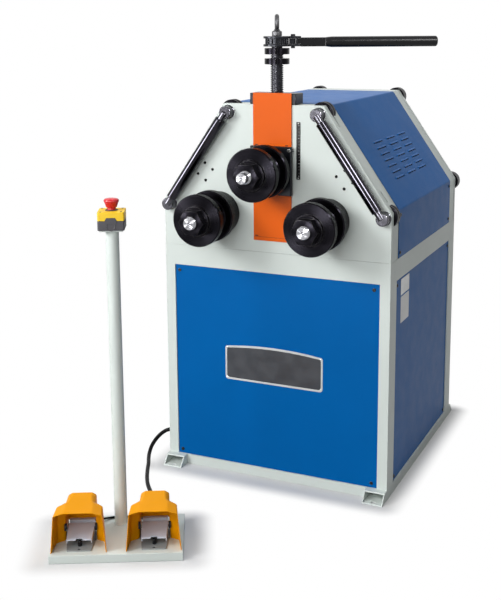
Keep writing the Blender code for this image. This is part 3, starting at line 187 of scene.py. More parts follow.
# Sprayed or moulded skin: fine orange peel, slow mottling and patchy gloss
def makeSkinGroup():
    tree, given = newGroup("sprayedSkin", Peel=700.0, Mottle=5.0)
    place = given["Place"]
    mottle = noise(tree, place, given["Mottle"], 4.0, 0.6)
    patches = noise(tree, place, calculate(tree, "MULTIPLY", given["Mottle"], 5.0), 3.0)
    return putOut(tree, Height=noise(tree, place, given["Peel"], 1.5), Shade=remap(tree, mottle, 0.34, 0.66),
                  Gloss=remap(tree, patches, 0.36, 0.64))


# Lathe marks: rings round the piece's own Z, on its faces and along its barrel
def makeTurnedGroup():
    tree, given = newGroup("turnedGrain", Rings=1500.0, Mottle=40.0)
    parts = addNode(tree, "ShaderNodeSeparateXYZ", {0: given["Place"]}).outputs
    ring = pair(tree, vectorMath(tree, "LENGTH", pair(tree, parts[0], parts[1])), parts[2])
    bands = noise(tree, ring, calculate(tree, "MULTIPLY", given["Rings"], 0.16), 2.0)
    stain = noise(tree, given["Place"], given["Mottle"], 4.0, 0.6)
    return putOut(tree, Height=noise(tree, ring, given["Rings"], 2.0, 0.7),
                  Shade=remap(tree, bands, 0.3, 0.7), Gloss=remap(tree, stain, 0.34, 0.66))


# Rolled or brushed sheet: noise drawn out along one direction
def makeBrushedGroup():
    tree, given = newGroup("brushedGrain", Stretch=(1, 1, 1), Mottle=18.0)
    lines = noise(tree, vectorMath(tree, "MULTIPLY", given["Place"], given["Stretch"]), 1.0, 3.0, 0.6)
    patches = noise(tree, given["Place"], given["Mottle"], 4.0, 0.6)
    return putOut(tree, Height=lines, Shade=remap(tree, lines, 0.3, 0.7),
                  Gloss=remap(tree, patches, 0.34, 0.66))


# Rubbed edges: where a rounded normal leaves the true one, broken up by noise
def makeWearGroup():
    tree, given = newGroup("edgeWear", Width=0.0015, Amount=0.5, Grain=160.0)
    soft = addNode(tree, "ShaderNodeBevel", {"Radius": given["Width"]}, samples=4).outputs[0]
    true = addNode(tree, "ShaderNodeNewGeometry").outputs["Normal"]
    edge = remap(tree, vectorMath(tree, "DOT_PRODUCT", soft, true), 0.995, 0.90)
    broken = remap(tree, noise(tree, given["Place"], given["Grain"], 4.0, 0.7), 0.40, 0.62)
    mask = calculate(tree, "MULTIPLY", calculate(tree, "MULTIPLY", edge, broken), given["Amount"])
    return putOut(tree, Mask=mask)


# A thin film of workshop dust on whatever faces up
def makeDustGroup():
    tree, given = newGroup("dustFilm", Amount=0.2)
    normal = addNode(tree, "ShaderNodeNewGeometry").outputs["Normal"]
    facing = remap(tree, addNode(tree, "ShaderNodeSeparateXYZ", {0: normal}).outputs[2], 0.5, 1.0)
    cloud = remap(tree, noise(tree, given["Place"], 30.0, 5.0, 0.65), 0.38, 0.66, 0.60, 1.0)
    mask = calculate(tree, "MULTIPLY", calculate(tree, "MULTIPLY", facing, cloud), given["Amount"])
    return putOut(tree, Mask=mask)


skinGroup = makeSkinGroup()
turnedGroup = makeTurnedGroup()
brushedGroup = makeBrushedGroup()
wearGroup = makeWearGroup()
dustGroup = makeDustGroup()
dustLook = {"colour": tone(178, 172, 160), "rough": 0.75}


def makeFinish(name, colour, shade, rough, grain, bump=0.0002, strength=0.3, metal=0.0, specular=0.5,
               coat=0.0, wear=None, dust=0.0, anisotropic=0.0):
    material = bpy.data.materials.new(name)
    material.use_nodes = True
    material.diffuse_color = tone(*colour)
    tree = material.node_tree
    place = addNode(tree, "ShaderNodeTexCoord").outputs["Object"]
    group, values = grain
    marks = addNode(tree, "ShaderNodeGroup", {"Place": place, **values}, node_tree=group).outputs
    darker = tuple(channel * shade for channel in tone(*colour)[:3]) + (1,)
    paint = blendColours(tree, marks["Shade"], darker, tone(*colour))
    rough = remap(tree, marks["Gloss"], 0.0, 1.0, *rough)
    if wear:
        values = {"Place": place, "Amount": wear["amount"], "Width": wear["width"]}
        mask = addNode(tree, "ShaderNodeGroup", values, node_tree=wearGroup).outputs["Mask"]
        paint = blendColours(tree, mask, paint, tone(*wear["colour"]))
        rough = blendValues(tree, mask, rough, wear["rough"])
    if dust:
        values = {"Place": place, "Amount": dust}
        mask = addNode(tree, "ShaderNodeGroup", values, node_tree=dustGroup).outputs["Mask"]
        paint = blendColours(tree, mask, paint, dustLook["colour"])
        rough = blendValues(tree, mask, rough, dustLook["rough"])
    normal = addNode(tree, "ShaderNodeBump", {"Height": marks["Height"], "Strength": strength,
                                              "Distance": bump}).outputs["Normal"]
    shader = wire(tree, tree.nodes["Principled BSDF"], {
        "Base Color": paint, "Roughness": rough, "Normal": normal, "Metallic": metal,
        "Specular IOR Level": specular, "Coat Weight": coat, "Coat Roughness": 0.08})
    if anisotropic:
        around = addNode(tree, "ShaderNodeTangent", direction_type="RADIAL", axis="Z").outputs[0]
        wire(tree, shader, {"Anisotropic": anisotropic, "Anisotropic Rotation": 0.25, "Tangent": around})
    return material


def skin(peel, mottle):
    return skinGroup, {"Peel": peel, "Mottle": mottle}


def lathed(rings, mottle):
    return turnedGroup, {"Rings": rings, "Mottle": mottle}


def brushed(stretch, mottle):
    return brushedGroup, {"Stretch": stretch, "Mottle": mottle}


chip = {"amount": 0.35, "width": 0.0016, "colour": (128, 132, 132), "rough": 0.5}
bareEdge = {"amount": 0.55, "width": 0.0012, "colour": (120, 118, 116), "rough": 0.3}
sprayed = {"rough": (0.36, 0.42), "grain": skin(620.0, 4.0), "bump": 0.0003}
moulded = {"grain": skin(1600.0, 30.0)}
rolled = {"grain": brushed((60.0, 900.0, 900.0), 45.0), "bump": 0.0001}

finishes = {
    "greyPaint": {**sprayed, "colour": (207, 215, 211), "shade": 0.96, "strength": 0.35, "specular": 0.12,
                  "wear": chip, "dust": 0.08},
    "bluePaint": {**sprayed, "colour": (0, 92, 163), "shade": 0.93, "rough": (0.33, 0.38), "specular": 0.03,
                  "wear": {**chip, "amount": 0.22, "colour": (96, 130, 160)}, "dust": 0.12},
    "orangePaint": {**sprayed, "colour": (220, 94, 18), "shade": 0.94, "specular": 0.06,
                    "wear": {**chip, "amount": 0.3}},
    "amberPaint": {**sprayed, "colour": (230, 152, 2), "shade": 0.94, "strength": 0.35, "specular": 0.04,
                   "wear": {**chip, "amount": 0.25, "colour": (205, 160, 90)}, "dust": 0.02},
    "blackPaint": {**sprayed, "colour": (14, 14, 17), "shade": 0.75, "rough": (0.24, 0.34), "strength": 0.15,
                   "specular": 0.2, "wear": {**bareEdge, "amount": 0.25}},
    "badgePaint": {**sprayed, "colour": (38, 42, 50), "shade": 0.85, "rough": (0.30, 0.42), "bump": 0.0001,
                   "strength": 0.25},
    "boxPaint": {**sprayed, "colour": (150, 154, 152), "shade": 0.93, "rough": (0.42, 0.55), "bump": 0.0004,
                 "strength": 0.5, "dust": 0.15},
    "blackTurned": {"colour": (23, 22, 26), "shade": 0.7, "rough": (0.26, 0.32),
                    "grain": lathed(1300.0, 30.0), "strength": 0.35, "metal": 1.0, "wear": bareEdge,
                    "anisotropic": 0.85},
    "brightTurned": {"colour": (160, 160, 164), "shade": 0.85, "rough": (0.22, 0.28),
                     "grain": lathed(2200.0, 50.0), "bump": 0.0001, "metal": 1.0, "anisotropic": 0.95},
    "darkChrome": {"colour": (46, 45, 50), "shade": 0.9, "rough": (0.08, 0.12), "grain": lathed(1500.0, 18.0),
                   "bump": 0.0001, "strength": 0.12, "metal": 1.0},
    "threadSteel": {"colour": (40, 40, 45), "shade": 0.8, "rough": (0.34, 0.42),
                    "grain": lathed(1500.0, 60.0), "bump": 0.0001, "metal": 0.9,
                    "wear": {**bareEdge, "colour": (110, 110, 114)}},
    "blackSteel": {"colour": (26, 28, 34), "shade": 0.8, "rough": (0.30, 0.37), "grain": skin(1100.0, 12.0),
                   "strength": 0.4, "metal": 0.5, "specular": 0.3, "wear": bareEdge},
    "greySteel": {"colour": (82, 81, 87), "shade": 0.8, "rough": (0.16, 0.24), "grain": skin(1300.0, 30.0),
                  "bump": 0.0001, "metal": 1.0, "wear": bareEdge},
    "forgedSteel": {"colour": (84, 84, 86), "shade": 0.75, "rough": (0.38, 0.48), "grain": skin(800.0, 40.0),
                    "bump": 0.0003, "strength": 0.5, "metal": 0.7, "wear": bareEdge},
    "castHousing": {"colour": (96, 104, 110), "shade": 0.8, "rough": (0.45, 0.62), "grain": skin(420.0, 18.0),
                    "bump": 0.0008, "strength": 0.6, "wear": bareEdge, "dust": 0.2},
    "brightMilled": {"colour": (188, 188, 186), "shade": 0.85, "rough": (0.22, 0.38),
                     "grain": brushed((1400.0, 60.0, 1400.0), 20.0), "bump": 0.0001, "metal": 1.0},
    "zincSheet": {**rolled, "colour": (186, 193, 206), "shade": 0.94, "rough": (0.40, 0.48), "specular": 0.4,
                  "wear": {**bareEdge, "amount": 0.3, "colour": (210, 210, 212)}},
    "footSheet": {**rolled, "colour": (142, 146, 146), "shade": 0.92, "rough": (0.38, 0.48), "metal": 0.1,
                  "specular": 0.3, "wear": {**bareEdge, "amount": 0.3, "colour": (190, 190, 192)}},
    "platePaint": {"colour": (196, 198, 198), "shade": 0.94, "rough": (0.30, 0.42),
                   "grain": brushed((40.0, 900.0, 900.0), 20.0), "bump": 0.0001, "strength": 0.25},
    "plateSteel": {"colour": (158, 160, 160), "shade": 0.85, "rough": (0.28, 0.42), "metal": 0.7,
                   "grain": brushed((900.0, 40.0, 900.0), 20.0), "bump": 0.0001,
                   "wear": {**bareEdge, "amount": 0.3}},
    "blackPlastic": {**moulded, "colour": (56, 54, 60), "shade": 0.9, "rough": (0.42, 0.55), "strength": 0.5,
                     "specular": 0.3, "dust": 0.06},
    "yellowPlastic": {**moulded, "colour": (238, 196, 34), "shade": 0.95, "rough": (0.38, 0.50),
                      "strength": 0.45, "specular": 0.2},
    "redPlastic": {**moulded, "colour": (200, 14, 30), "shade": 0.88, "rough": (0.24, 0.36), "specular": 0.3,
                   "coat": 0.2},
    "printWhite": {**moulded, "colour": (232, 232, 230), "shade": 0.9, "rough": (0.45, 0.6), "bump": 0.0001,
                   "strength": 0.2},
    "cableRubber": {"colour": (8, 8, 9), "shade": 0.8, "rough": (0.42, 0.55), "grain": skin(900.0, 40.0),
                    "strength": 0.5, "specular": 0.12},
}
paints = {name: makeFinish(name, **look) for name, look in finishes.items()}
print("finishes made:", len(paints))


# shared ways to make a shape

def modify(piece, name, kind, **settings):
    setAll(piece.modifiers.new(name, kind), settings)


def newPiece(name, form, place=Matrix(), sharp=32):
    bmesh.ops.recalc_face_normals(form, faces=form.faces)
    mesh = bpy.data.meshes.new(name)
    form.to_mesh(mesh)
    form.free()
    mesh.shade_smooth()
    mesh.set_sharp_from_angle(angle=math.radians(sharp))
    piece = addToScene(name, mesh)
    piece.matrix_world = place
    return piece


def fit(piece, body, paint, stands=()):
    if piece.type == "MESH":
        modify(piece, "normals", "WEIGHTED_NORMAL", keep_sharp=True)
    piece.data.materials.clear()
    piece.data.materials.append(paints[paint])
    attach(piece, body)
    if stands:
        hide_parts(*stands)
    return piece


def addPiece(name, form, body, paint, stands=(), place=Matrix(), sharp=32):
    return fit(newPiece(name, form, place, sharp), body, paint, stands)


# Round the corners of an outline or profile given as pairs
def eased(points, radius, steps=3, closed=False):
    points = [Vector(point) for point in points]
    result = []
    for i, corner in enumerate(points):
        before = points[i - 1] - corner
        after = points[(i + 1) % len(points)] - corner
        atEnd = not closed and i in (0, len(points) - 1)
        if atEnd or before.angle(after) > math.radians(172):
            result.append(corner)
            continue
        reach = min(radius, 0.45 * before.length, 0.45 * after.length)
        start = corner + before.normalized() * reach
        end = corner + after.normalized() * reach
        for step in range(steps + 1):
            t = step / steps
            result.append(start * (1 - t) ** 2 + corner * 2 * t * (1 - t) + end * t ** 2)
    return result


def arc(radius, start, sweep, count):
    angles = [start + sweep * i / count for i in range(count + 1)]
    return [(radius * math.cos(angle), radius * math.sin(angle)) for angle in angles]


def circle(x, y, radius, count=48, start=0.0):
    return [(x + u, y + v) for u, v in arc(radius, start, 2 * math.pi, count)[:-1]]


# Points on a hexagon that are as evenly turned as a circle's; size is half its width across flats
def hexagon(size, count):
    reach = [size / math.cos((2 * math.pi * i / count) % (math.pi / 3) - math.pi / 6) for i in range(count)]
    return [(x * far, y * far) for (x, y), far in zip(circle(0, 0, 1, count), reach)]


def rectangle(x0, y0, x1, y1):
    return [(x0, y0), (x1, y0), (x1, y1), (x0, y1)]


def pointsInto(form, points, place=Matrix()):
    return [form.verts.new(place @ Vector(point)) for point in points]


# Faces between rows of points; a row may be a single point
def joinRows(form, rows, closed=False, capped=False):
    for lower, upper in zip(rows, rows[1:] + (rows[:1] if closed else [])):
        count = max(len(lower), len(upper))
        for i in range(count):
            j = (i + 1) % count
            near = [lower[k % len(lower)] for k in (i, j)]
            far = [upper[k % len(upper)] for k in (j, i)]
            corners = list(dict.fromkeys(near + far))  # a single point comes once
            if len(corners) > 2:
                form.faces.new(corners)
    if capped:
        form.faces.new(rows[0][::-1])
        form.faces.new(rows[-1])


# Turn a profile of (radius, height) pairs round the form's Z
def latheInto(form, profile, sides=64, place=Matrix(), ring=False):
    rows = []
    for radius, height in profile:
        line = [(0, 0)] if radius < 1e-6 else circle(0, 0, radius, sides)
        rows.append(pointsInto(form, [(x, y, height) for x, y in line], place))
    joinRows(form, rows, closed=ring)


def discInto(form, radius, low, high, sides, place=Matrix()):
    latheInto(form, [(0, low), (radius, low), (radius, high), (0, high)], sides, place)


def blockInto(form, low, high, edge=0.0005, place=Matrix(), steps=2):
    low, high = Vector(low), Vector(high)
    turn = place @ shifted(*(low + high) / 2) @ Matrix.Diagonal((*(high - low), 1))
    made = bmesh.ops.create_cube(form, size=1, matrix=turn)
    edges = list({edge for vert in made["verts"] for edge in vert.link_edges})
    bmesh.ops.bevel(form, geom=edges, offset=edge, segments=steps, affect="EDGES", profile=0.5)


def area(outline):
    return sum(a[0] * b[1] - b[0] * a[1] for a, b in zip(outline, outline[1:] + outline[:1])) / 2


# A plate with eased edges from an outline and its holes, standing on the form's Z
def plateInto(form, outlines, low, high, place=Matrix(), edge=0.0004):
    curve = setAll(bpy.data.curves.new("outline", "CURVE"), {
        "dimensions": "2D", "fill_mode": "BOTH", "extrude": (high - low) / 2 - edge, "bevel_depth": edge,
        "bevel_resolution": 1, "offset": -edge})
    for count, outline in enumerate(outlines):
        outline = [tuple(point) for point in outline]
        if (area(outline) > 0) != (count == 0):
            outline = outline[::-1]
        spline = curve.splines.new("POLY")
        spline.points.add(len(outline) - 1)
        for point, (x, y) in zip(spline.points, outline):
            point.co = (x, y, 0, 1)
        spline.use_cyclic_u = True
    holder = bpy.data.objects.new("outline", curve)
    mesh = bpy.data.meshes.new_from_object(holder)
    mesh.transform(place @ shifted(z=(low + high) / 2))
    form.from_mesh(mesh)
    bmesh.ops.remove_doubles(form, verts=form.verts, dist=1e-6)
    bpy.data.objects.remove(holder)
    bpy.data.curves.remove(curve)
    bpy.data.meshes.remove(mesh)


# A tube along a closed or open line of points
def ropeInto(form, points, radius, sides=12, closed=False):
    points = [Vector(point) for point in points]
    count = len(points)
    rows = []
    lift = None
    for i, point in enumerate(points):
        before = points[i - 1] if closed or i > 0 else point
        after = points[(i + 1) % count] if closed or i < count - 1 else point
        along = (after - before).normalized()
        if lift is None:
            lift = along.orthogonal().normalized()
        lift = (lift - along * lift.dot(along)).normalized()
        side = along.cross(lift)
        thick = radius[i] if isinstance(radius, list) else radius
        rows.append(pointsInto(form, [point + lift * x + side * y for x, y in circle(0, 0, thick, sides)]))
    joinRows(form, rows, closed, not closed)


# A hexagon nut or bolt head with its corners turned down
def hexInto(form, across, low, high, bore=0.0, place=Matrix(), bothEnds=False):
    sides, easing, boreEasing, slope = 72, 0.0003, 0.0008, math.tan(math.radians(30))
    crown = across / 2 * 0.97
    outline = hexagon(across / 2, sides)
    drops = [(math.hypot(x, y) - crown) * slope for x, y in outline]

    def level(line, height):
        return pointsInto(form, [(x, y, height) for x, y in line], place)

    def chamfer(height, side):
        return pointsInto(form, [(x, y, height + side * drop) for (x, y), drop in zip(outline, drops)], place)

    if bothEnds:
        rows = [level(circle(0, 0, crown, sides), low), chamfer(low, 1)]
    else:
        shares = [1 - easing / math.hypot(x, y) for x, y in outline]
        foot = [(x * share, y * share) for (x, y), share in zip(outline, shares)]
        rows = [level(foot, low), level(outline, low + easing)]
    rows += [chamfer(high, -1), level(circle(0, 0, crown, sides), high)]
    if bore:
        rows += [level(circle(0, 0, bore + boreEasing, sides), high),
                 level(circle(0, 0, bore, sides), high - boreEasing), level(circle(0, 0, bore, sides), low)]
    joinRows(form, rows, bool(bore), not bore)


# A socket screw head on the form's Z: a turned head with a hexagon pocket
def screwInto(form, radius, height, place=Matrix(), dome=0.4):
    key, sides = radius * 0.5, 24
    head = [(radius, 0), (radius, 1 - dome), (radius * 0.93, 1 - dome * 0.35), (radius * 0.80, 1)]
    pocket = [(key * 1.08, 1), (key, 0.96), (key, 0.35)]
    lines = [(circle(0, 0, size, sides), share) for size, share in head]
    lines += [(hexagon(size, sides), share) for size, share in pocket]
    rows = [pointsInto(form, [(x, y, height * share) for x, y in line], place) for line, share in lines]
    joinRows(form, rows, capped=True)


# A bent sheet from an open form: sharp edges folded, a wall put on inwards, the rim eased
def addSheet(name, form, body, paint, slot, stands, place, fold, sheet, bend, steps=4, sharp=60, rim=0.0004):
    bmesh.ops.recalc_face_normals(form, faces=form.faces)
    bends = [edge for edge in form.edges
             if len(edge.link_faces) == 2 and edge.calc_face_angle() > math.radians(bend)]
    bmesh.ops.bevel(form, geom=bends, offset=fold, segments=steps, affect="EDGES", profile=0.5,
                    clamp_overlap=True)
    piece = newPiece(name, form, place, sharp)
    if max(piece.data.polygons, key=lambda face: face.center.z).normal.z < 0:
        piece.data.flip_normals()
    modify(piece, "sheet", "SOLIDIFY", thickness=sheet, offset=-1)
    if rim:
        modify(piece, "rim", "BEVEL", width=rim, segments=2, limit_method="ANGLE",
               angle_limit=math.radians(60))
    return fit(piece, body, paint, stands)


# cables

mainCable = {"radius": 0.006, "length": 0.7, "floor": 0.0063, "glandEnd": 0.3728, "bootLength": 0.0195}
linkCable = {"radius": 0.003, "length": 0.249}
bootLook = {  # thicknesses as shares of the cable's, the rib as shares of a ring
    "foot": 1.45,
    "taper": 0.30,
    "groove": 0.14,
    "neck": 1.08,
    "tip": 1.03,
    "rings": 5,
    "rib": (0.62, 0.72),
    "edge": 0.002,
}
pedalRear = 0.1203


def onStand(x, y, z):
    return standFrame @ Vector((x, y, z))


def layCable(name, route, look, node):
    curve = setAll(bpy.data.curves.new(name, "CURVE"), {
        "dimensions": "3D", "bevel_depth": look["radius"], "bevel_resolution": 5, "resolution_u": 16,
        "use_fill_caps": True})
    spline = curve.splines.new("BEZIER")
    spline.bezier_points.add(len(route) - 1)
    for i, point in enumerate(spline.bezier_points):
        lean = (route[min(i + 1, len(route) - 1)] - route[max(i - 1, 0)]) / 6
        setAll(point, {"co": route[i], "handle_left": route[i] - lean, "handle_right": route[i] + lean})
    return fit(addToScene(name, curve), "frame", "cableRubber", [node])


def addBoot(name, start, along):
    look, radius, length = bootLook, mainCable["radius"], mainCable["bootLength"]
    pitch = (length - 2 * look["edge"]) / look["rings"]
    ribEnd, grooveStart = look["rib"]
    profile = [(0, 0), (radius * look["foot"], 0)]
    for i in range(look["rings"]):
        low = look["edge"] + pitch * i
        size = radius * (look["foot"] - look["taper"] * i / look["rings"])
        profile += [(size, low), (size, low + pitch * ribEnd),
                    (size - radius * look["groove"], low + pitch * grooveStart)]
    profile += [(radius * look["neck"], length - 0.001), (radius * look["tip"], length), (0, length)]
    form = bmesh.new()
    latheInto(form, eased(profile, 0.0005, 2), 32)
    place = shifted(*start) @ along.to_track_quat("Z", "Y").to_matrix().to_4x4()
    return addPiece(name, form, "frame", "cableRubber", place=place)


def addCables():
    floor, tip = mainCable["floor"], mainCable["glandEnd"]
    mainRoute = [
        at(-tip, 0.085, 0.062), at(-tip - 0.020, 0.085, 0.062), at(-0.411, 0.077, 0.056),
        at(-0.426, 0.058, 0.042), at(-0.432, 0.030, 0.024), at(-0.426, 0.001, 0.010),
        at(-0.411, -0.030, floor), at(-0.392, -0.064, floor), at(-0.374, -0.100, floor),
        at(-0.348, -0.148, floor), at(-0.322, -0.189, floor), at(-0.293, -0.225, floor),
        at(-0.264, -0.256, 0.0075), at(-0.238, -0.285, 0.012), at(-0.217, -0.312, 0.020),
        onStand(0.080, 0.212, 0.0305), onStand(0.094, 0.184, 0.038), onStand(0.103, 0.160, 0.044),
        onStand(0.105, pedalRear + 0.020, 0.046), onStand(0.105, pedalRear, 0.046),
    ]
    cable = layCable("main_cable_cord", mainRoute, mainCable, "main_cable")
    boots = [addBoot("gland_boot", mainRoute[0], mainRoute[1] - mainRoute[0]),
             addBoot("pedal_boot", mainRoute[-1], mainRoute[-2] - mainRoute[-1])]

    halfRoute = [(0.081, pedalRear, 0.040), (0.081, pedalRear + 0.014, 0.040), (0.074, 0.152, 0.038),
                 (0.061, 0.166, 0.033), (0.045, 0.181, 0.029), (0.024, 0.193, 0.0258)]
    linkRoute = [onStand(-x, y, z) for x, y, z in halfRoute] + [onStand(0, 0.197, 0.0253)]
    linkRoute += [onStand(x, y, z) for x, y, z in reversed(halfRoute)]
    link = layCable("link_cable_cord", linkRoute, linkCable, "link_cable")


addCables()
print("cables laid")


# CAD pieces that keep their shape: paint, width of the softened edges and the nodes

dressed = [
    ("greyPaint", 0.0022, ["base_frame"]),
    ("greyPaint", 0.0012, ["stand_base"]),
    ("greyPaint", 0.0006, ["front_band"]),
    ("bluePaint", 0.0008, ["front_panel", "left_panel", "right_panel", "rear_panel"]),
    ("orangePaint", 0.0005, ["upper_cover", "lower_cover"]),
    ("blackSteel", 0.0008, ["slide_block", "slide_guide"]),
    ("blackSteel", 0.0010, ["nut_block"]),
    ("blackSteel", 0.0004, ["ratchet_wheel", "pawl"]),
    ("brightMilled", 0.0005, ["left_gear", "right_gear", "drive_pinion"]),
    ("castHousing", 0.0020, ["gear_motor"]),
    ("boxPaint", 0.0015, ["control_box"]),
    ("blackPlastic", 0.0008, ["estop_base"]),
    ("yellowPlastic", 0.0010, ["estop_cover"]),
]


def dressNode(name, paint, width):
    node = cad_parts[name]
    mesh = node.data
    if "custom_normal" in mesh.attributes:
        mesh.attributes.remove(mesh.attributes["custom_normal"])
    mesh.shade_smooth()
    modify(node, "weld", "WELD", merge_threshold=1e-5)
    modify(node, "flat", "DECIMATE", decimate_type="DISSOLVE", angle_limit=math.radians(1))
    modify(node, "soften", "BEVEL", width=width, segments=2, limit_method="ANGLE",
           angle_limit=math.radians(40), use_clamp_overlap=True, miter_outer="MITER_ARC")
    modify(node, "normals", "WEIGHTED_NORMAL", keep_sharp=False)
    mesh.materials.clear()
    mesh.materials.append(paints[paint])


for paintName, edgeWidth, nodeNames in dressed:
    for nodeName in nodeNames:
        dressNode(nodeName, paintName, edgeWidth)
print("CAD pieces dressed:", sum(len(names) for paint, width, names in dressed))


# head of the machine: front plate, rear plate with its band, and the louvred hood

headLook = {
    "foot": 0.6913,
    "half": 0.350,
    "shoulder": 0.829,
    "top": 1.115,
    "topHalf": 0.152,
    "plate": 0.020,
    "edge": 0.0007,
    "slot": (-0.0565, 0.800, 0.0565),
    "boreRadius": 0.0503,
    "tapRadius": 0.00425,
    "taps": ((0.2146, 0.9411), (0.1903, 0.9228), (0.2376, 0.9080), (0.2132, 0.8896)),
    "tieHole": 0.0163,
    "depth": 0.718,
    "band": (0.015, 0.6475, 0.003),
}
hoodLook = {
    "front": 0.0705,
    "rear": 0.647,
    "sheet": {"fold": 0.004, "sheet": 0.002, "bend": 10, "rim": 0},
}
louvreLook = {
    "columns": (0.2345, 0.3560, 0.4715),
    "rows": 7,
    "first": 0.080,
    "step": 0.0202,
    "length": 0.080,
    "slit": 0.004,
    "lip": 0.0035,
    "rise": 0.0022,
    "sheet": 0.0009,
}
rollPlaces = {"top": (0, 0.935), "left": (-0.1675, 0.798), "right": (0.1675, 0.798)}
tiePlaces = {"upper": (0.1385, 1.0925), "lower": (0.3288, 0.8160)}


def bothSides(side):
    return side + [(-x, z) for x, z in reversed(side)]


headOutline = bothSides([(headLook["half"], headLook["foot"]), (headLook["half"], headLook["shoulder"]),
                         (headLook["topHalf"], headLook["top"])])


def addFrontPlate():
    look = headLook
    left, low, right = look["slot"]
    slot = [(right, look["top"]), (right, low), (left, low), (left, look["top"])]
    holes = []
    for side in (-1, 1):
        holes.append(circle(side * rollPlaces["right"][0], rollPlaces["right"][1], look["boreRadius"], 72))
        holes += [circle(side * x, z, look["tapRadius"], 24) for x, z in look["taps"]]
    form = bmesh.new()
    plateInto(form, [headOutline[:3] + slot + headOutline[3:]] + holes, -look["plate"], 0, facingFront(),
              look["edge"])
    addPiece("front_plate_form", form, "frame", "greyPaint", ["front_plate"])


def addRearPlate():
    look = headLook
    holes = [circle(side * x, z, look["tieHole"], 40) for side in (-1, 1) for x, z in tiePlaces.values()]
    form = bmesh.new()
    plateInto(form, [headOutline] + holes, -look["depth"], look["plate"] - look["depth"], facingFront(),
              look["edge"])
    overlap, front, sheet = look["band"]
    inner = bothSides([(look["half"] - sheet, look["foot"]), (look["half"] - sheet, look["shoulder"] - 0.001),
                       (look["topHalf"] - 0.0017, look["top"] - sheet)])
    plateInto(form, [headOutline + inner[::-1]], overlap - look["depth"], -front, facingFront())
    addPiece("rear_plate_form", form, "frame", "greyPaint", ["rear_plate"])


# The hood's skin is a grid that is left open at every slit
def addHood():
    cuts = louvreLook
    across = [hoodLook["front"]]
    for middle in cuts["columns"]:
        across += [middle - cuts["length"] / 2, middle + cuts["length"] / 2]
    across.append(hoodLook["rear"])
    shoulder = Vector((headLook["half"], headLook["shoulder"]))
    crest = Vector((headLook["topHalf"], headLook["top"]))
    length = (crest - shoulder).length
    line = [Vector((headLook["half"], headLook["foot"])), shoulder]
    for row in range(cuts["rows"]):
        low = cuts["first"] + row * cuts["step"]
        line += [shoulder.lerp(crest, low / length), shoulder.lerp(crest, (low + cuts["slit"]) / length)]
    line.append(crest)
    slits = range(2, len(line) - 1, 2)
    slits = [*slits, *(2 * len(line) - 2 - i for i in slits)]
    line += [Vector((-place.x, place.y)) for place in reversed(line)]
    form = bmesh.new()
    grid = [pointsInto(form, [at(place.x, y, place.y) for y in across]) for place in line]
    for i in range(len(line) - 1):
        for j in range(len(across) - 1):
            if not (i in slits and j % 2 == 1):
                form.faces.new((grid[i][j], grid[i + 1][j], grid[i + 1][j + 1], grid[i][j + 1]))
    addSheet("hood_form", form, "frame", "bluePaint", "blue_paint", ["hood"], Matrix(), **hoodLook["sheet"])


addFrontPlate()
addRearPlate()
addHood()
print("head plates and hood made")


# rolls, shafts and nuts

rollLook = {
    "radius": 0.074,
    "hub": 0.050,
    "rear": 0.050,
    "flange": 0.024,
    "front": 0.150,
    "chamfer": 0.003,
    "fillet": 0.004,
    "bore": 0.0203,
    "boreChamfer": 0.001,
    "groove": (0.0435, 0.0470, 0.0006),
}
shaftLook = {
    "radius": 0.020,
    "front": 0.149,
    "neck": 0.150,
    "thread": 0.018,
    "threadStart": 0.184,
    "threadDeep": 0.0011,
    "pitch": 0.002,
    "tip": 0.195,
    "tipEdge": [(-0.0008, -0.0014), (-0.0024, 0)],
    "pin": (0.015, 0.212, 0.0012),
    "centreHole": [(0.0042, 0), (0.0032, -0.001), (0.0012, -0.0045), (0, -0.0045)],
    "shoulder": 0.033,
    "shoulderFront": 0.0497,
    "edge": 0.001,
    "rear": {
        "top": [(0, -0.125), (0.027, -0.125), (0.028, -0.124), (0.028, 0.0185)],
        "lower": [(0, -0.225), (0.021, -0.225), (0.022, -0.224), (0.022, -0.165), (0.028, -0.165),
                  (0.028, 0.0355)],
    },
}
nutLook = {"across": 0.066, "height": 0.028, "washer": 0.042, "washerThick": 0.008, "bore": 0.0183}


def addRoll(word, x, z, radius, hub, rear, flange, front, chamfer, fillet, bore, boreChamfer, groove):
    rim = radius - chamfer
    inner, outer, deep = groove
    profile = [(bore + boreChamfer, rear), (rim, rear), (radius, rear + chamfer),
               (radius, rear + flange - chamfer), (rim, rear + flange), (hub + fillet, rear + flange),
               (hub, rear + flange + fillet), (hub, front - flange - fillet),
               (hub + fillet, front - flange), (rim, front - flange),
               (radius, front - flange + chamfer), (radius, front - chamfer), (rim, front), (outer, front),
               (outer - 0.0005, front - deep), (inner + 0.0005, front - deep), (inner, front),
               (bore + boreChamfer, front), (bore, front - boreChamfer), (bore, rear + boreChamfer)]
    form = bmesh.new()
    latheInto(form, eased(profile, 0.0006, 2, True), 96, ring=True)
    addPiece(f"{word}_roll_form", form, f"{word}_roller", "blackTurned", [f"{word}_roll"],
             facingFront(x, z))


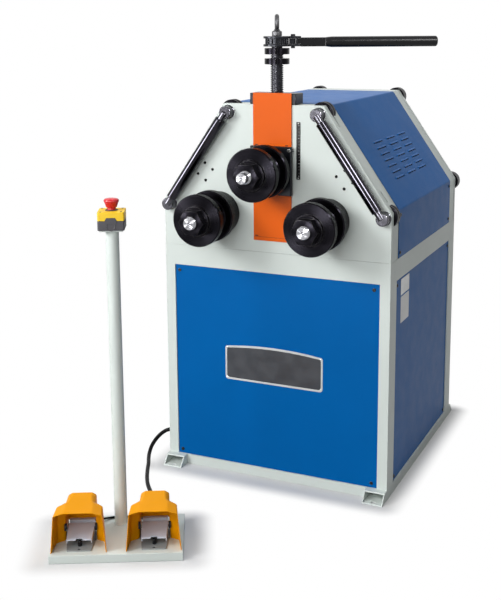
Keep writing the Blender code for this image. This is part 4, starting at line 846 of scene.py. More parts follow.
def addShaft(word, x, z):
    look = shaftLook
    tip, thread, pitch, edge = look["tip"], look["thread"], look["pitch"], look["edge"]
    shoulder, front = look["shoulder"], look["shoulderFront"]
    rear = look["rear"]["top" if word == "top" else "lower"]
    back = rear[-1][1]
    profile = rear + [(shoulder - edge, back), (shoulder, back + edge), (shoulder, front - edge),
                      (shoulder - edge, front), (look["radius"], front), (look["radius"], look["front"]),
                      (thread, look["neck"])]
    height = look["threadStart"]
    profile.append((thread, height))
    while height + pitch < tip - 0.0012:
        profile += [(thread - look["threadDeep"], height + pitch * 0.45), (thread, height + pitch * 0.9)]
        height += pitch
    profile += [(thread + u, tip + v) for u, v in look["tipEdge"]]
    if word == "top":
        pin, tip, pinEdge = look["pin"]
        profile += [(pin, look["tip"]), (pin, tip - pinEdge), (pin - pinEdge, tip)]
    profile += [(u, tip + v) for u, v in look["centreHole"]]
    form = bmesh.new()
    latheInto(form, profile, 72)
    addPiece(f"{word}_shaft_form", form, f"{word}_roller", "brightTurned",
             [f"{word}_shaft"], facingFront(x, z))


def addNut(word, x, z, across, height, washer, washerThick, bore):
    seat = rollLook["front"] + 0.0003
    top = seat + washerThick
    form = bmesh.new()
    latheInto(form, [(bore, seat), (washer - 0.0008, seat), (washer, seat + 0.0008), (washer, top - 0.0008),
                     (washer - 0.0012, top), (bore, top)], 96, ring=True)
    hexInto(form, across, top - 0.0002, rollLook["front"] + washerThick + height, bore)
    addPiece(f"{word}_nut_form", form, f"{word}_roller", "blackTurned", [f"{word}_nut"],
             facingFront(x, z))


for rollWord, (rollX, rollZ) in rollPlaces.items():
    addRoll(rollWord, rollX, rollZ, **rollLook)
    addShaft(rollWord, rollX, rollZ)
    addNut(rollWord, rollX, rollZ, **nutLook)
print("rolls, shafts and nuts made")


# bearing housings with their cap screws

bearingLook = {
    "flange": 0.0625,
    "front": 0.035,
    "seat": 0.0003,
    "barrel": 0.050,
    "end": 0.160,
    "chamfer": 0.002,
    "bore": 0.0285,
    "boreChamfer": 0.0015,
    "groove": (0.0440, 0.0475, 0.0012),
    "screws": (6, 0.0555, 0.0048, 0.005),
}


def addBearing(word, side, flange, front, seat, barrel, end, chamfer, bore, boreChamfer, groove, screws):
    inner, outer, deep = groove
    profile = [(bore, -end), (barrel - chamfer, -end), (barrel, chamfer - end), (barrel, seat),
               (flange, seat), (flange, front - chamfer), (flange - chamfer, front), (outer, front),
               (outer - 0.0005, front - deep), (inner + 0.0005, front - deep), (inner, front),
               (bore + boreChamfer, front), (bore, front - boreChamfer)]
    form = bmesh.new()
    latheInto(form, eased(profile, 0.0004, 1, True), 80, ring=True)
    count, reach, radius, height = screws
    for x, y in circle(0, 0, reach, count, math.pi / 6):
        screwInto(form, radius, height, shifted(x, y, front), 0.15)
    x, z = rollPlaces["right"]
    addPiece(f"{word}_bearing_form", form, "frame", "blackTurned", [f"{word}_bearing"],
             facingFront(side * x, z))


# the tapped holes' insides and the covers' small slots, in black: painted shade

paintedShadeLook = {
    "tapDepth": 0.015,
    "tapWall": 0.0009,
    "slots": ((-0.0480, 1.0020), (0.0440, 1.0020), (-0.0490, 0.7400), (0.0430, 0.7400)),
    "slotHalf": (0.0045, 0.0011),
    "slotDepths": (-0.0043, -0.0030),
    "creaseShade": ((-0.0580, -0.0042, 0.7365), (0.0580, -0.0030, 0.7371)),
}


def addPaintedShadeHoles():
    look = paintedShadeLook
    form = bmesh.new()
    radius, deep = headLook["tapRadius"] - 0.0001, look["tapDepth"]
    inner = radius - look["tapWall"]
    for side in (-1, 1):
        for x, z in headLook["taps"]:
            cup = [(inner, -0.0010), (radius, -0.0004), (radius, -deep), (0, -deep), (0, 0.0008 - deep),
                   (inner, 0.0008 - deep)]
            latheInto(form, cup, 24, facingFront(side * x, z), ring=True)
    # Black cups that close the tapped holes: painted shade inside the holes
    addPiece("tapped_holes_painted_shade", form, "frame", "blackPaint")
    form = bmesh.new()
    half, tall = look["slotHalf"]
    near, far = look["slotDepths"]
    for x, z in look["slots"]:
        blockInto(form, (x - half, near, z - tall), (x + half, far, z + tall), 0.0002, shifted(*home))
    blockInto(form, *look["creaseShade"], 0.0001, shifted(*home))
    # Black blocks for the covers' small slots and a thin black line across the lower cover at its crease:
    # painted shade in the openings and the crease
    addPiece("cover_slots_painted_shade", form, "slide", "blackPaint")


addPaintedShadeHoles()
for bearingWord, bearingSide in (("left", -1), ("right", 1)):
    addBearing(bearingWord, bearingSide, **bearingLook)


# tie bars: a collar at the front, a disc with its socket screw at the rear

tieLook = {
    "radius": 0.016,
    "collar": 0.032,
    "collarFront": 0.0203,
    "collarRear": 0.0485,
    "groove": (0.0317, 0.0375, 0.0012),
    "collarEdge": 0.0015,
    "disc": 0.030,
    "discFront": 0.7183,
    "discRear": 0.750,
    "discEdge": 0.003,
    "pocket": (0.0085, 0.010),
    "screw": [(0, 0), (0.0072, 0), (0.0075, 0.001), (0.0075, 0.008), (0.0066, 0.0088), (0.0040, 0.0088),
              (0.0036, 0.0052), (0, 0.0052)],
}


def addTieBar(name, x, z, radius, collar, collarFront, collarRear, groove, collarEdge, disc, discFront,
              discRear, discEdge, pocket, screw):
    first, last, deep = groove
    socket, sunk = pocket
    profile = [(0, sunk - discRear), (socket, sunk - discRear), (socket, -discRear),
               (disc - discEdge, -discRear), (disc, discEdge - discRear), (disc, -discFront),
               (radius, -discFront), (radius, -collarRear),
               (collar - 0.001, -collarRear), (collar, 0.001 - collarRear), (collar, -last),
               (collar - deep, 0.0008 - last), (collar - deep, -first - 0.0008), (collar, -first),
               (collar, -collarFront - collarEdge), (collar - collarEdge, -collarFront), (0, -collarFront)]
    form = bmesh.new()
    latheInto(form, eased(profile, 0.0005, 2), 64)
    latheInto(form, screw, 24, shifted(z=sunk + 0.0002 - discRear) @ turned(180, "X"))
    addPiece(name + "_form", form, "frame", "blackTurned", [name], facingFront(x, z))


for tiePlace, (tieX, tieZ) in tiePlaces.items():
    addTieBar(f"{tiePlace}_left_tie_bar", -tieX, tieZ, **tieLook)
    addTieBar(f"{tiePlace}_right_tie_bar", tieX, tieZ, **tieLook)
print("bearings and tie bars made")


# guide rods and their sleeves

rodLook = {
    "ends": ((0.1380, 1.0910), (0.3295, 0.8155)),
    "y": -0.022,
    "radius": 0.0105,
    "chamfer": 0.0015,
    "foot": 0.018,
    "footFront": 0.025,
    "weld": [(0.0022, 0.0003), (0.0018, 0.0014), (0.0002, 0.0028), (0, 0.004)],
}
sleeveLook = {
    "radius": 0.015,
    "bore": 0.0109,
    "span": (0.0241, 0.3112),
    "chamfer": 0.0015,
    "boreChamfer": 0.0008,
}


def addGuideRod(word, side, ends, y, radius, chamfer, foot, footFront, weld):
    upper, lower = (at(side * x, y, z) for x, z in ends)
    along = (lower - upper).normalized()
    turn = along.to_track_quat("Z", "Y").to_matrix().to_4x4()
    length = (lower - upper).length
    form = bmesh.new()
    shape = [(0, 0), (radius - chamfer, 0), (radius, chamfer), (radius, length - chamfer),
             (radius - chamfer, length), (0, length)]
    latheInto(form, eased(shape, 0.0006, 2), 40, shifted(*upper) @ turn)
    post = [(0, weld[0][1])] + [(foot + grow, height) for grow, height in weld]
    post += [(foot, footFront - 0.002), (foot - 0.002, footFront), (0, footFront)]
    for x, z in ends:
        latheInto(form, eased(post, 0.0005, 2), 56, facingFront(side * x, z))
    addPiece(f"{word}_guide_rod_form", form, "frame", "greySteel", [f"{word}_guide_rod"])
    return upper, along, turn


def addSleeve(word, upper, along, turn, radius, bore, span, chamfer, boreChamfer):
    length = span[1] - span[0]
    shape = [(bore, boreChamfer), (bore + boreChamfer, 0), (radius - chamfer, 0), (radius, chamfer),
             (radius, length - chamfer), (radius - chamfer, length), (bore + boreChamfer, length),
             (bore, length - boreChamfer)]
    form = bmesh.new()
    latheInto(form, eased(shape, 0.0005, 2, True), 72, ring=True)
    addPiece(f"{word}_sleeve_form", form, f"{word}_sleeve", "darkChrome",
             [f"{word}_guide_sleeve"], shifted(*(upper + along * span[0])) @ turn)


for rodWord, rodSide in (("left", -1), ("right", 1)):
    addSleeve(rodWord, *addGuideRod(rodWord, rodSide, **rodLook), **sleeveLook)
print("guide rods made")


# lift screw with its trapezoidal thread and keyway

screwLook = {
    "core": [(0, 0.976), (0.0082, 0.976), (0.009, 0.977), (0.009, 1.0003), (0.0200, 1.0003), (0.0210, 1.0013),
             (0.0210, 1.0093), (0.0200, 1.0103), (0.0150, 1.0103), (0.0150, 1.2733), (0.0172, 1.2745),
             (0.012, 1.2745), (0.012, 1.3015), (0.011, 1.3025), (0, 1.3025)],
    "ridge": [(0.0146, -0.0026), (0.0178, -0.0013), (0.018, -0.0010), (0.018, 0.0010), (0.0178, 0.0013),
              (0.0146, 0.0026)],
    "radius": 0.018,
    "pitch": 0.006,
    "start": 1.0160,
    "turns": 42,
    "keyway": 0.006,
    "keywayAngle": -62,
}


def addLiftScrew():
    look = screwLook
    form = bmesh.new()
    latheInto(form, look["core"], 64)
    opening = 2 * math.asin(look["keyway"] / 2 / look["radius"])
    sweep = 2 * math.pi - opening
    steps = 32
    for turn in range(look["turns"]):
        rows = []
        for step in range(steps + 1):
            past = opening / 2 + sweep * step / steps
            angle = math.radians(look["keywayAngle"]) + past
            rise = look["start"] + look["pitch"] * (turn + past / (2 * math.pi))
            rows.append(pointsInto(form, [(r * math.cos(angle), r * math.sin(angle), rise + z)
                                          for r, z in look["ridge"]]))
        joinRows(form, rows, capped=True)
    addPiece("lift_screw_form", form, "screw", "threadSteel", ["lift_screw"], screwFrame)


addLiftScrew()


# ring nuts with four hook-spanner slots

ringNutLook = {"radius": 0.035, "bore": 0.0183, "slotHalf": 0.003, "slotDeep": 0.004, "turn": 20, "steps": 14}
ringNuts = {"stop_nut": (1.2260, 1.2420), "lock_nut": (1.2534, 1.2703)}


def addRingNut(name, low, high, radius, bore, slotHalf, slotDeep, turn, steps):
    outline = []
    half = math.asin(slotHalf / radius)
    for slot in range(4):
        middle = math.radians(turn) + slot * math.pi / 2
        side = Vector((-math.sin(middle), math.cos(middle))) * slotHalf
        floor = Vector((math.cos(middle), math.sin(middle))) * (radius - slotDeep)
        sweep = math.pi / 2 - 2 * half
        outline += [tuple(floor - side), tuple(floor + side)]
        outline += arc(radius, middle + half, sweep, steps)
    form = bmesh.new()
    plateInto(form, [outline, circle(0, 0, bore, 48)], low, high, edge=0.0010)
    addPiece(name + "_form", form, "screw", "blackTurned", [name], screwFrame)


for nutName, nutHeights in ringNuts.items():
    addRingNut(nutName, *nutHeights, **ringNutLook)


# ratchet fork: two lipped plates, a web and the pawl's pivot bolt

forkLook = {
    "radius": 0.038,
    "bore": 0.0124,
    "armHalf": 0.013,
    "end": 0.0664,
    "corner": 0.004,
    "web": (0.0525, 0.0565),
    "lower": (1.2750, 1.2810),
    "upper": (1.2970, 1.3030),
}
pivotLook = {"place": 0.045, "head": (0.011, 0.0055), "nut": (0.010, 0.0055), "washer": (0.0072, 0.0010)}


def addRatchetFork(radius, bore, armHalf, end, corner, web, lower, upper):
    lean = math.asin(armHalf / radius)
    arm = arc(radius, lean, 2 * math.pi - 2 * lean, 56)
    arm += [(end - corner, -armHalf), (end, corner - armHalf), (end, armHalf - corner),
            (end - corner, armHalf)]
    form = bmesh.new()
    for low, high in (lower, upper):
        plateInto(form, [arm, circle(0, 0, bore, 48)], low, high, edge=0.0007)
    blockInto(form, (web[0], 0.001 - armHalf, lower[1] - 0.001),
              (web[1], armHalf - 0.001, upper[0] + 0.001), 0.0004)
    addPiece("ratchet_fork_form", form, "ratchet_lever", "blackSteel", ["ratchet_fork"],
             leverFrame)


def addPivotBolt():
    look, low, high = pivotLook, forkLook["lower"][0], forkLook["upper"][1]
    form = bmesh.new()
    place = shifted(look["place"])
    hexInto(form, look["head"][0], high, high + look["head"][1], place=place)
    discInto(form, look["washer"][0], high - 0.001, high + look["washer"][1], 32, place)
    hexInto(form, look["nut"][0], low - look["nut"][1], low, place=place)
    addPiece("pawl_pivot_bolt", form, "ratchet_lever", "blackSteel", place=leverFrame)


addRatchetFork(**forkLook)
addPivotBolt()


# lever: a flat bar welded into a tube with a domed end

leverLook = {
    "height": 1.2865,
    "tongue": 0.0568,
    "tongueHeights": (1.2814, 1.2966),
    "barStart": 0.0668,
    "barEnd": 0.147,
    "barTall": 0.025,
    "barThick": 0.010,
    "tube": 0.0147,
    "tubeStart": 0.137,
    "end": 0.454,
    "dome": 0.006,
    "taper": [(-0.0026, 0), (-0.0018, 0.0008), (-0.0006, 0.010), (0, 0.018)],
    "weld": (12, 0.85, 0.0016, 0.0005),  # beads, share of the bar's height, thickness, ripple
}


def addLever(height, tongue, tongueHeights, barStart, barEnd, barTall, barThick, tube, tubeStart, end, dome,
             taper, weld):
    low, high = height - barTall / 2, height + barTall / 2
    tongueLow, tongueHigh = tongueHeights
    form = bmesh.new()
    outline = [(tongue, tongueLow), (barStart, tongueLow), (barStart, low), (barEnd, low), (barEnd, high),
               (barStart, high), (barStart, tongueHigh), (tongue, tongueHigh)]
    plateInto(form, [outline], -barThick / 2, barThick / 2, turned(90, "X"), 0.0010)
    start = [(0, tubeStart)] + [(tube + grow, tubeStart + past) for grow, past in taper]
    rounded = [(tube - dome + u, end - dome + v) for u, v in arc(dome, 0, math.pi / 2, 6)]
    latheInto(form, start + rounded + [(0, end)], 48, shifted(z=height) @ turned(90, "Y"))
    beads, share, thick, ripple = weld
    for side in (-1, 1):
        line = [(tubeStart - 0.0005, side * (barThick / 2 + 0.0006),
                 height + barTall * share * (i / beads - 0.5)) for i in range(beads + 1)]
        ropeInto(form, line, [thick + ripple * (i % 2) for i in range(beads + 1)], 8)
    form.transform(leverFrame)
    addPiece("lever_form", form, "ratchet_lever", "blackPaint", ["lever"])


addLever(**leverLook)


# lifting eye in the top of the screw

eyeLook = {
    "collar": [(0, 1.3034), (0.0130, 1.3034), (0.0140, 1.3044), (0.0140, 1.3152), (0.0125, 1.3168),
               (0.0098, 1.3178), (0.0078, 1.3202), (0.0068, 1.3232), (0, 1.3232)],
    "ring": 0.017,
    "wire": 0.006,
    "middle": 1.3405,
    "angle": 114.8,
}


def addEyebolt(collar, ring, wire, middle, angle):
    form = bmesh.new()
    latheInto(form, eased(collar, 0.0008, 2), 48)
    ropeInto(form, [(u, 0, middle + v) for u, v in circle(0, 0, ring, 48)], wire, 20, True)
    form.transform(screwFrame @ turned(angle, "Z"))
    addPiece("eyebolt_form", form, "screw", "forgedSteel", ["eyebolt"])


addEyebolt(**eyeLook)
print("screw, ratchet, lever and eye made")


# stand post with its head plate and welds

postLook = {
    "radius": 0.017,
    "foot": 0.0223,
    "neck": 0.8242,
    "top": 0.8272,
    "footWeld": [(0.0030, 0), (0.0026, 0.0012), (0.0008, 0.0028), (0, 0.0042)],
    "headWeld": [(0, -0.0035), (0.0008, -0.0022), (0.0024, -0.0006), (0.0026, 0.0002)],
    "headHalf": 0.030,
}


def addStandPost(radius, foot, neck, top, footWeld, headWeld, headHalf):
    profile = [(0, foot)] + [(radius + grow, foot + height) for grow, height in footWeld]
    profile += [(radius + grow, neck + height) for grow, height in headWeld] + [(0, neck + headWeld[-1][1])]
    form = bmesh.new()
    latheInto(form, eased(profile, 0.0006, 2), 64, onPost)
    head = eased(rectangle(-headHalf, -headHalf, headHalf, headHalf), 0.004, 4, True)
    plateInto(form, [head], neck, top, onPost)
    addPiece("stand_post_form", form, "frame", "greyPaint", ["stand_post"], standFrame)


addStandPost(**postLook)


# emergency stop: mushroom button, collar, cover screws, knockout and tab

stopLook = {
    "button": [(0, 0.862), (0.0105, 0.862), (0.0110, 0.8625), (0.0110, 0.8826), (0.0138, 0.8830),
               (0.0145, 0.8850), (0.0172, 0.8930), (0.0186, 0.8962), (0.0195, 0.8980), (0.0195, 0.9000),
               (0.0190, 0.9020), (0.0165, 0.9042), (0.010, 0.9055), (0.006, 0.9058), (0, 0.9058)],
    "lid": 0.8747,
    "collar": [(0.0116, 0.8745), (0.0165, 0.8745), (0.0165, 0.8759), (0.0155, 0.8767), (0.0120, 0.8767),
               (0.0116, 0.8761)],
    "screwReach": 0.026,
    "screw": [(0, 0), (0.0031, 0), (0.0031, 0.0005), (0.0026, 0.0009), (0, 0.0009)],
    "screwSlot": (0.0024, 0.0004, 0.0006, 0.0010),
    "face": 0.136,
    "tab": [(-0.0150, 0.8450), (0.0150, 0.8450), (0.0150, 0.8535), (0.0110, 0.8605), (-0.0110, 0.8605),
            (-0.0150, 0.8535)],
    "knockout": [(0.0095, -0.0003), (0.0125, -0.0003), (0.0125, 0.0006), (0.0119, 0.0011), (0.0101, 0.0011),
                 (0.0095, 0.0005)],
    "knockoutHeight": 0.8392,
}


def addStop():
    look = stopLook
    form = bmesh.new()
    latheInto(form, eased(look["button"], 0.0010, 3), 64, onPost)
    addPiece("estop_button_form", form, "button", "redPlastic", ["estop_button"], standFrame)

    form = bmesh.new()
    latheInto(form, eased(look["collar"], 0.0004, 2, True), 48, onPost, ring=True)
    lid, reach, (half, thin, low, high) = look["lid"], look["screwReach"], look["screwSlot"]
    for x in (-reach, reach):
        for y in (-reach, reach):
            latheInto(form, look["screw"], 20, onPost @ shifted(x, y, lid - 0.0001))
            blockInto(form, (x - half, y - thin, lid + low), (x + half, y + thin, lid + high), 0.0001, onPost)
    addPiece("estop_collar", form, "frame", "blackPlastic", place=standFrame)

    form = bmesh.new()
    upright = shifted(y=look["face"]) @ turned(90, "X")
    plateInto(form, [eased(look["tab"], 0.0012, 3, True)], -0.0004, 0.0012, upright)
    latheInto(form, eased(look["knockout"], 0.0003, 2, True), 40, upright @ shifted(y=look["knockoutHeight"]),
              ring=True)
    addPiece("estop_tab", form, "frame", "blackPlastic", place=standFrame)


addStop()
print("stand and emergency stop made")


# pedal guards: bent sheet, folded along three lines with a hatch at the rear

guardLook = {
    "foot": 0.0223,
    "hatch": 0.056,
    "sections": (  # depth, half width at the foot, half width and height of the shoulder and of the top
        (0.012, 0.0710, 0.0620, 0.1225, 0.0362, 0.1305),
        (0.066, 0.0640, 0.0590, 0.1225, 0.0350, 0.1305),
        (0.080, 0.0420, 0.0385, 0.1240, 0.0300, 0.1310),
        (0.130, 0.0400, 0.0370, 0.1240, 0.0260, 0.1310),
    ),
    "sheet": {"fold": 0.0035, "sheet": 0.002, "bend": 4},
}
pedalPlaces = {"left": -0.095, "right": 0.095}


def addGuard(word, x):
    look = guardLook
    form = bmesh.new()
    rows = []
    for y, footHalf, shoulderHalf, shoulder, topHalf, top in look["sections"]:
        half = [(footHalf, look["foot"]), (shoulderHalf, shoulder), (topHalf, top)]
        line = [(-u, z) for u, z in half] + [(u, z) for u, z in reversed(half)]
        rows.append(pointsInto(form, [(u, y, z) for u, z in line]))
    for near, far in zip(rows, rows[1:]):
        for i in range(5):
            form.faces.new((near[i], near[i + 1], far[i + 1], far[i]))
    rear = rows[-1]
    share = (look["hatch"] - look["foot"]) / (look["sections"][-1][3] - look["foot"])
    split = []
    for foot, shoulder in ((rear[0], rear[1]), (rear[5], rear[4])):
        split.append(bmesh.utils.edge_split(form.edges.get((foot, shoulder)), foot, share)[1])
    form.faces.new((split[0], *rear[1:5], split[1]))
    form.transform(shifted(x))
    addSheet(f"{word}_guard_form", form, "frame", "amberPaint", "amber_paint", [f"{word}_guard"], standFrame,
             **look["sheet"])


# foot switches: treadle with its notch and ridge, hinge pins in its sides

treadleLook = {
    "front": 0.032,
    "rear": 0.035,
    "top": ((0.0300, 0.0468), (0.0306, 0.0484), (0.0322, 0.0492), (0.0360, 0.0500), (0.0660, 0.0550),
            (0.1000, 0.0592)),
    "skirt": 0.0105,
    "notchHalf": 0.0085,
    "notchRows": 3,
    "sheet": {"fold": 0.0012, "sheet": 0.002, "bend": 60, "steps": 3, "sharp": 50},
    "pin": (0.0333, 0.072, 0.0520),
    "pinHead": (0.0034, 0.0018),
}


def addTreadle(word, x):
    look = treadleLook
    form = bmesh.new()
    top, notchHalf = look["top"], look["notchHalf"]
    first, last = top[0][0], top[-1][0]
    grid = []
    for y, z in top:
        half = look["front"] + (look["rear"] - look["front"]) * (y - first) / (last - first)
        grid.append(pointsInto(form, [(u, y, z) for u in (-half, -notchHalf, notchHalf, half)]))
    for i in range(len(top) - 1):
        for j in range(3):
            if j != 1 or i >= look["notchRows"]:
                form.faces.new((grid[i][j], grid[i][j + 1], grid[i + 1][j + 1], grid[i + 1][j]))
    for j in (0, 3):
        skirt = [form.verts.new(row[j].co - Vector((0, 0, look["skirt"]))) for row in grid[2:]]
        for i in range(len(skirt) - 1):
            form.faces.new((grid[i + 2][j], grid[i + 3][j], skirt[i + 1], skirt[i]))
    form.transform(shifted(x))
    addSheet(f"{word}_treadle_form", form, f"{word}_pedal", "zincSheet", "zinc", [f"{word}_treadle"],
             standFrame, **look["sheet"])

    form = bmesh.new()
    half, y, z = look["pin"]
    for side in (-1, 1):
        screwInto(form, *look["pinHead"], shifted(x + side * half, y, z) @ turned(side * 90, "Y"))
    addPiece(f"{word}_pedal_pins", form, f"{word}_pedal", "brightMilled", place=standFrame)


# The switch's tapered foot plate, its body and the stop under the treadle's notch
baseLook = {
    "half": 0.0350,
    "frontHalf": 0.0310,
    "rear": 0.120,
    "waist": 0.058,
    "front": 0.0185,
    "foot": (0.0223, 0.0253),
    "screw": (0.026, 0.0041),
    "screwHeights": (0.0226, 0.0236),
    "body": ((-0.028, 0.078, 0.0250), (0.028, 0.120, 0.0490)),
    "stop": [(0, 0.0250), (0.0050, 0.0250), (0.0050, 0.0380), (0.0042, 0.0395), (0.0026, 0.0400),
             (0, 0.0400)],
    "stopPlace": 0.044,
}


def addPedalBase(word, x):
    look = baseLook
    half, front, (screwPlace, screwRadius) = look["half"], look["frontHalf"], look["screw"]
    outline = [(-half, look["rear"]), (-half, look["waist"]), (-front, look["front"]), (front, look["front"]),
               (half, look["waist"]), (half, look["rear"])]
    form = bmesh.new()
    plateInto(form, [eased(outline, 0.003, 3, True), circle(0, screwPlace, screwRadius - 0.0001, 24)],
              *look["foot"], shifted(x))
    addPiece(f"{word}_pedal_foot", form, "frame", "footSheet", [f"{word}_pedal_base"], standFrame)
    form = bmesh.new()
    blockInto(form, *look["body"], 0.0015, shifted(x))
    latheInto(form, eased(look["stop"], 0.0005, 2), 32, shifted(x, look["stopPlace"]))
    discInto(form, screwRadius, *look["screwHeights"], 24, shifted(x, screwPlace))
    addPiece(f"{word}_switch_body", form, "frame", "blackPaint", place=standFrame)


# Behind the treadle: the switch's ribbed cover and the two black ears that hold the hinge
switchLook = {
    "half": 0.033,
    "cover": [(0.1055, 0.0485), (0.1195, 0.0485), (0.1195, 0.0640), (0.1085, 0.0640), (0.1085, 0.0610),
              (0.1071, 0.0610), (0.1071, 0.0570), (0.1055, 0.0570)],
    "ear": 0.0362,
    "leg": ([(0.0730, 0.0223), (0.0790, 0.0223), (0.0790, 0.0600), (0.0730, 0.0600)], 0.0374),
    "head": ([(0.0735, 0.0705), (0.0690, 0.0640), (0.0690, 0.0530), (0.0790, 0.0530), (0.0790, 0.0705)],
             0.0420),
    "pin": (0.0745, 0.0590),
    "pinHead": (0.0035, -0.0016, 0.0003),
}


def addSwitchCover(word, x):
    look = switchLook
    turn = shifted(x) @ sideways
    form = bmesh.new()
    plateInto(form, [look["cover"]], -look["half"], look["half"], turn)
    addPiece(f"{word}_switch_cover", form, "frame", "zincSheet", place=standFrame)
    form = bmesh.new()
    for side in (-1, 1):
        for shape, reach in (look["leg"], look["head"]):
            low, high = sorted((side * look["ear"], side * reach))
            plateInto(form, [eased(shape, 0.0015, 3, True)], low, high, turn, 0.0003)
        discInto(form, *look["pinHead"], 20,
                 turn @ shifted(*look["pin"], side * look["ear"]) @ Matrix.Diagonal((1, 1, side, 1)))
    addPiece(f"{word}_pedal_ears", form, "frame", "blackSteel", place=standFrame)


for pedalWord, pedalX in pedalPlaces.items():
    addGuard(pedalWord, pedalX)
    addTreadle(pedalWord, pedalX)
    addPedalBase(pedalWord, pedalX)
    addSwitchCover(pedalWord, pedalX)
print("pedals made")


# hood louvres: a pressed lip over each slit

def slopeFrame(side):
    low = Vector((headLook["half"], 0, headLook["shoulder"]))
    high = Vector((headLook["topHalf"], 0, headLook["top"]))
    along = (high - low).normalized()
    turn = Matrix((along, Vector((0, 1, 0)), Vector((along.z, 0, -along.x)))).transposed().to_4x4()
    return shifted(*home) @ Matrix.Diagonal((side, 1, 1, 1)) @ shifted(*low) @ turn


def addLouvres(word, side):
    look = louvreLook
    form = bmesh.new()
    place = slopeFrame(side)
    steps, sunk, end = 5, 0.0006, 1.03
    for row in range(look["rows"]):
        low = look["first"] + row * look["step"]
        for middle in look["columns"]:
            rows = []
            for share in (-end, -1.0, -0.965, -0.93, 0.93, 0.965, 1.0, end):
                fade = min(1.0, (end - abs(share)) / 0.10)
                rise = look["rise"] * math.sin(fade * math.pi / 2)
                line = []
                for i in range(steps + 1):
                    angle = math.pi / 2 * i / steps
                    reach = look["lip"] * math.cos(angle) - look["slit"] * (i / steps) * 0.55
                    line.append(Vector((low + look["slit"] + reach, middle + look["length"] / 2 * share,
                                        (rise + sunk) * math.sin(angle) - sunk)))
                under = [line[0] - Vector((0, 0, 0.0002))]
                under += [point - Vector((0, 0, look["sheet"])) for point in line[1:]]
                rows.append(pointsInto(form, line + under[::-1], place))
            joinRows(form, rows, capped=True)
    addPiece(f"{word}_louvre_lips", form, "frame", "bluePaint", sharp=50)


addLouvres("left", -1)
addLouvres("right", 1)


# panel and hood screws

panelScrews = {
    "size": (0.0052, 0.0024),
    "heights": (0.6125, 0.0437),
    "front": ((-0.3060, 0.3030), 0.0029, 0.7151),
    "side": ((0.0745, 0.6430), 0.3469),
    "hood": ((0.0850, 0.6320), (0.7060, 0.8130), 0.3499),
}


def addPanelScrews(size, heights, front, side, hood):
    form = bmesh.new()
    across, faceFront, faceRear = front
    for x in across:
        for z in heights:
            screwInto(form, *size, facingFront(x, z, faceFront))
            screwInto(form, *size, shifted(*at(x, faceRear, z)) @ turned(-90, "X"))
    sideRows = ((side[0], heights, side[1]), hood)
    for hand in (-1, 1):
        for depths, levels, face in sideRows:
            for y in depths:
                for z in levels:
                    screwInto(form, *size, shifted(*at(hand * face, y, z)) @ turned(hand * 90, "Y"))
    addPiece("panel_screws", form, "frame", "blackSteel")


addPanelScrews(**panelScrews)


# pointer on the slide, scale beside the slot, and the blank plates

scaleLook = {
    "box": (0.072, 0.908, 0.084, 1.069),
    "thick": 0.0010,
    "ticks": 17,
    "margin": 0.010,
    "tick": (0.0028, 0.0050, 0.0003),
    "tickInset": 0.002,
    "rivetInset": 0.004,
    "rivet": [(0, 0), (0.0020, 0), (0.0018, 0.0008), (0.0010, 0.0012), (0, 0.0013)],
}
pointerLook = {
    "place": (0.0575, 0.990, -0.018),
    "bolt": (0.0078, 0.0008, 0.0048),
    "washer": (0.0052, 0, 0.0009),
    "blade": [(-0.0040, -0.0035), (0.0030, -0.0035), (0.0155, -0.0006), (0.0155, 0.0006), (0.0030, 0.0035),
              (-0.0040, 0.0035)],
}


def addScale(box, thick, ticks, margin, tick, tickInset, rivetInset, rivet):
    x0, z0, x1, z1 = box
    form = bmesh.new()
    plateInto(form, [eased(rectangle(*box), 0.0012, 3, True)], 0, thick, facingFront(), 0.0002)
    addPiece("scale_strip", form, "frame", "blackPaint")
    form = bmesh.new()
    short, long, half = tick
    edge = x1 - tickInset
    for i in range(ticks):
        z = z0 + margin + (z1 - z0 - 2 * margin) * i / (ticks - 1)
        reach = short if i % 4 else long
        blockInto(form, (edge - reach, thick - 0.0001, z - half), (edge, thick + 0.0002, z + half), 0.0001,
                  shifted(*home) @ Matrix.Diagonal((1, -1, 1, 1)))
    addPiece("scale_ticks", form, "frame", "printWhite")
    form = bmesh.new()
    for z in (z0 + rivetInset, z1 - rivetInset):
        latheInto(form, rivet, 20, facingFront() @ shifted((x0 + x1) / 2, z, thick))
    addPiece("scale_rivets", form, "frame", "brightMilled")


def addPointer():
    place = facingFront(*pointerLook["place"])
    form = bmesh.new()
    hexInto(form, *pointerLook["bolt"], place=place)
    discInto(form, *pointerLook["washer"], 32, place)
    addPiece("pointer_bolt", form, "slide", "brightMilled")
    form = bmesh.new()
    plateInto(form, [eased(pointerLook["blade"], 0.0004, 2, True)], -0.0002, 0.0006, place, 0.0002)
    addPiece("pointer_blade", form, "slide", "blackSteel")


badgeLook = {
    "box": (-0.1560, 0.2930, 0.1530, 0.3950),
    "crown": 0.011,
    "corner": 0.010,
    "face": 0.003,
    "thick": 0.0012,
    "lift": 0.003,
    "shrink": (0.965, 0.89),
    "rivetInset": (0.006, 0.007, 0.004),
    "rivet": [(0, 0), (0.0022, 0), (0.0020, 0.0007), (0.0011, 0.0012), (0, 0.0013)],
}
sidePlates = {
    "rating": {"box": (0.110, 0.575, 0.194, 0.622), "thick": 0.0008, "paint": "plateSteel", "riveted": True},
    "lower": {"box": (0.113, 0.492, 0.195, 0.570), "thick": 0.0004, "paint": "platePaint", "riveted": False},
}
sidePlateLook = {
    "face": 0.347,
    "corner": 0.003,
    "rivetInset": 0.004,
    "rivet": [(0, 0), (0.0016, 0), (0.0014, 0.0006), (0, 0.0009)],
}


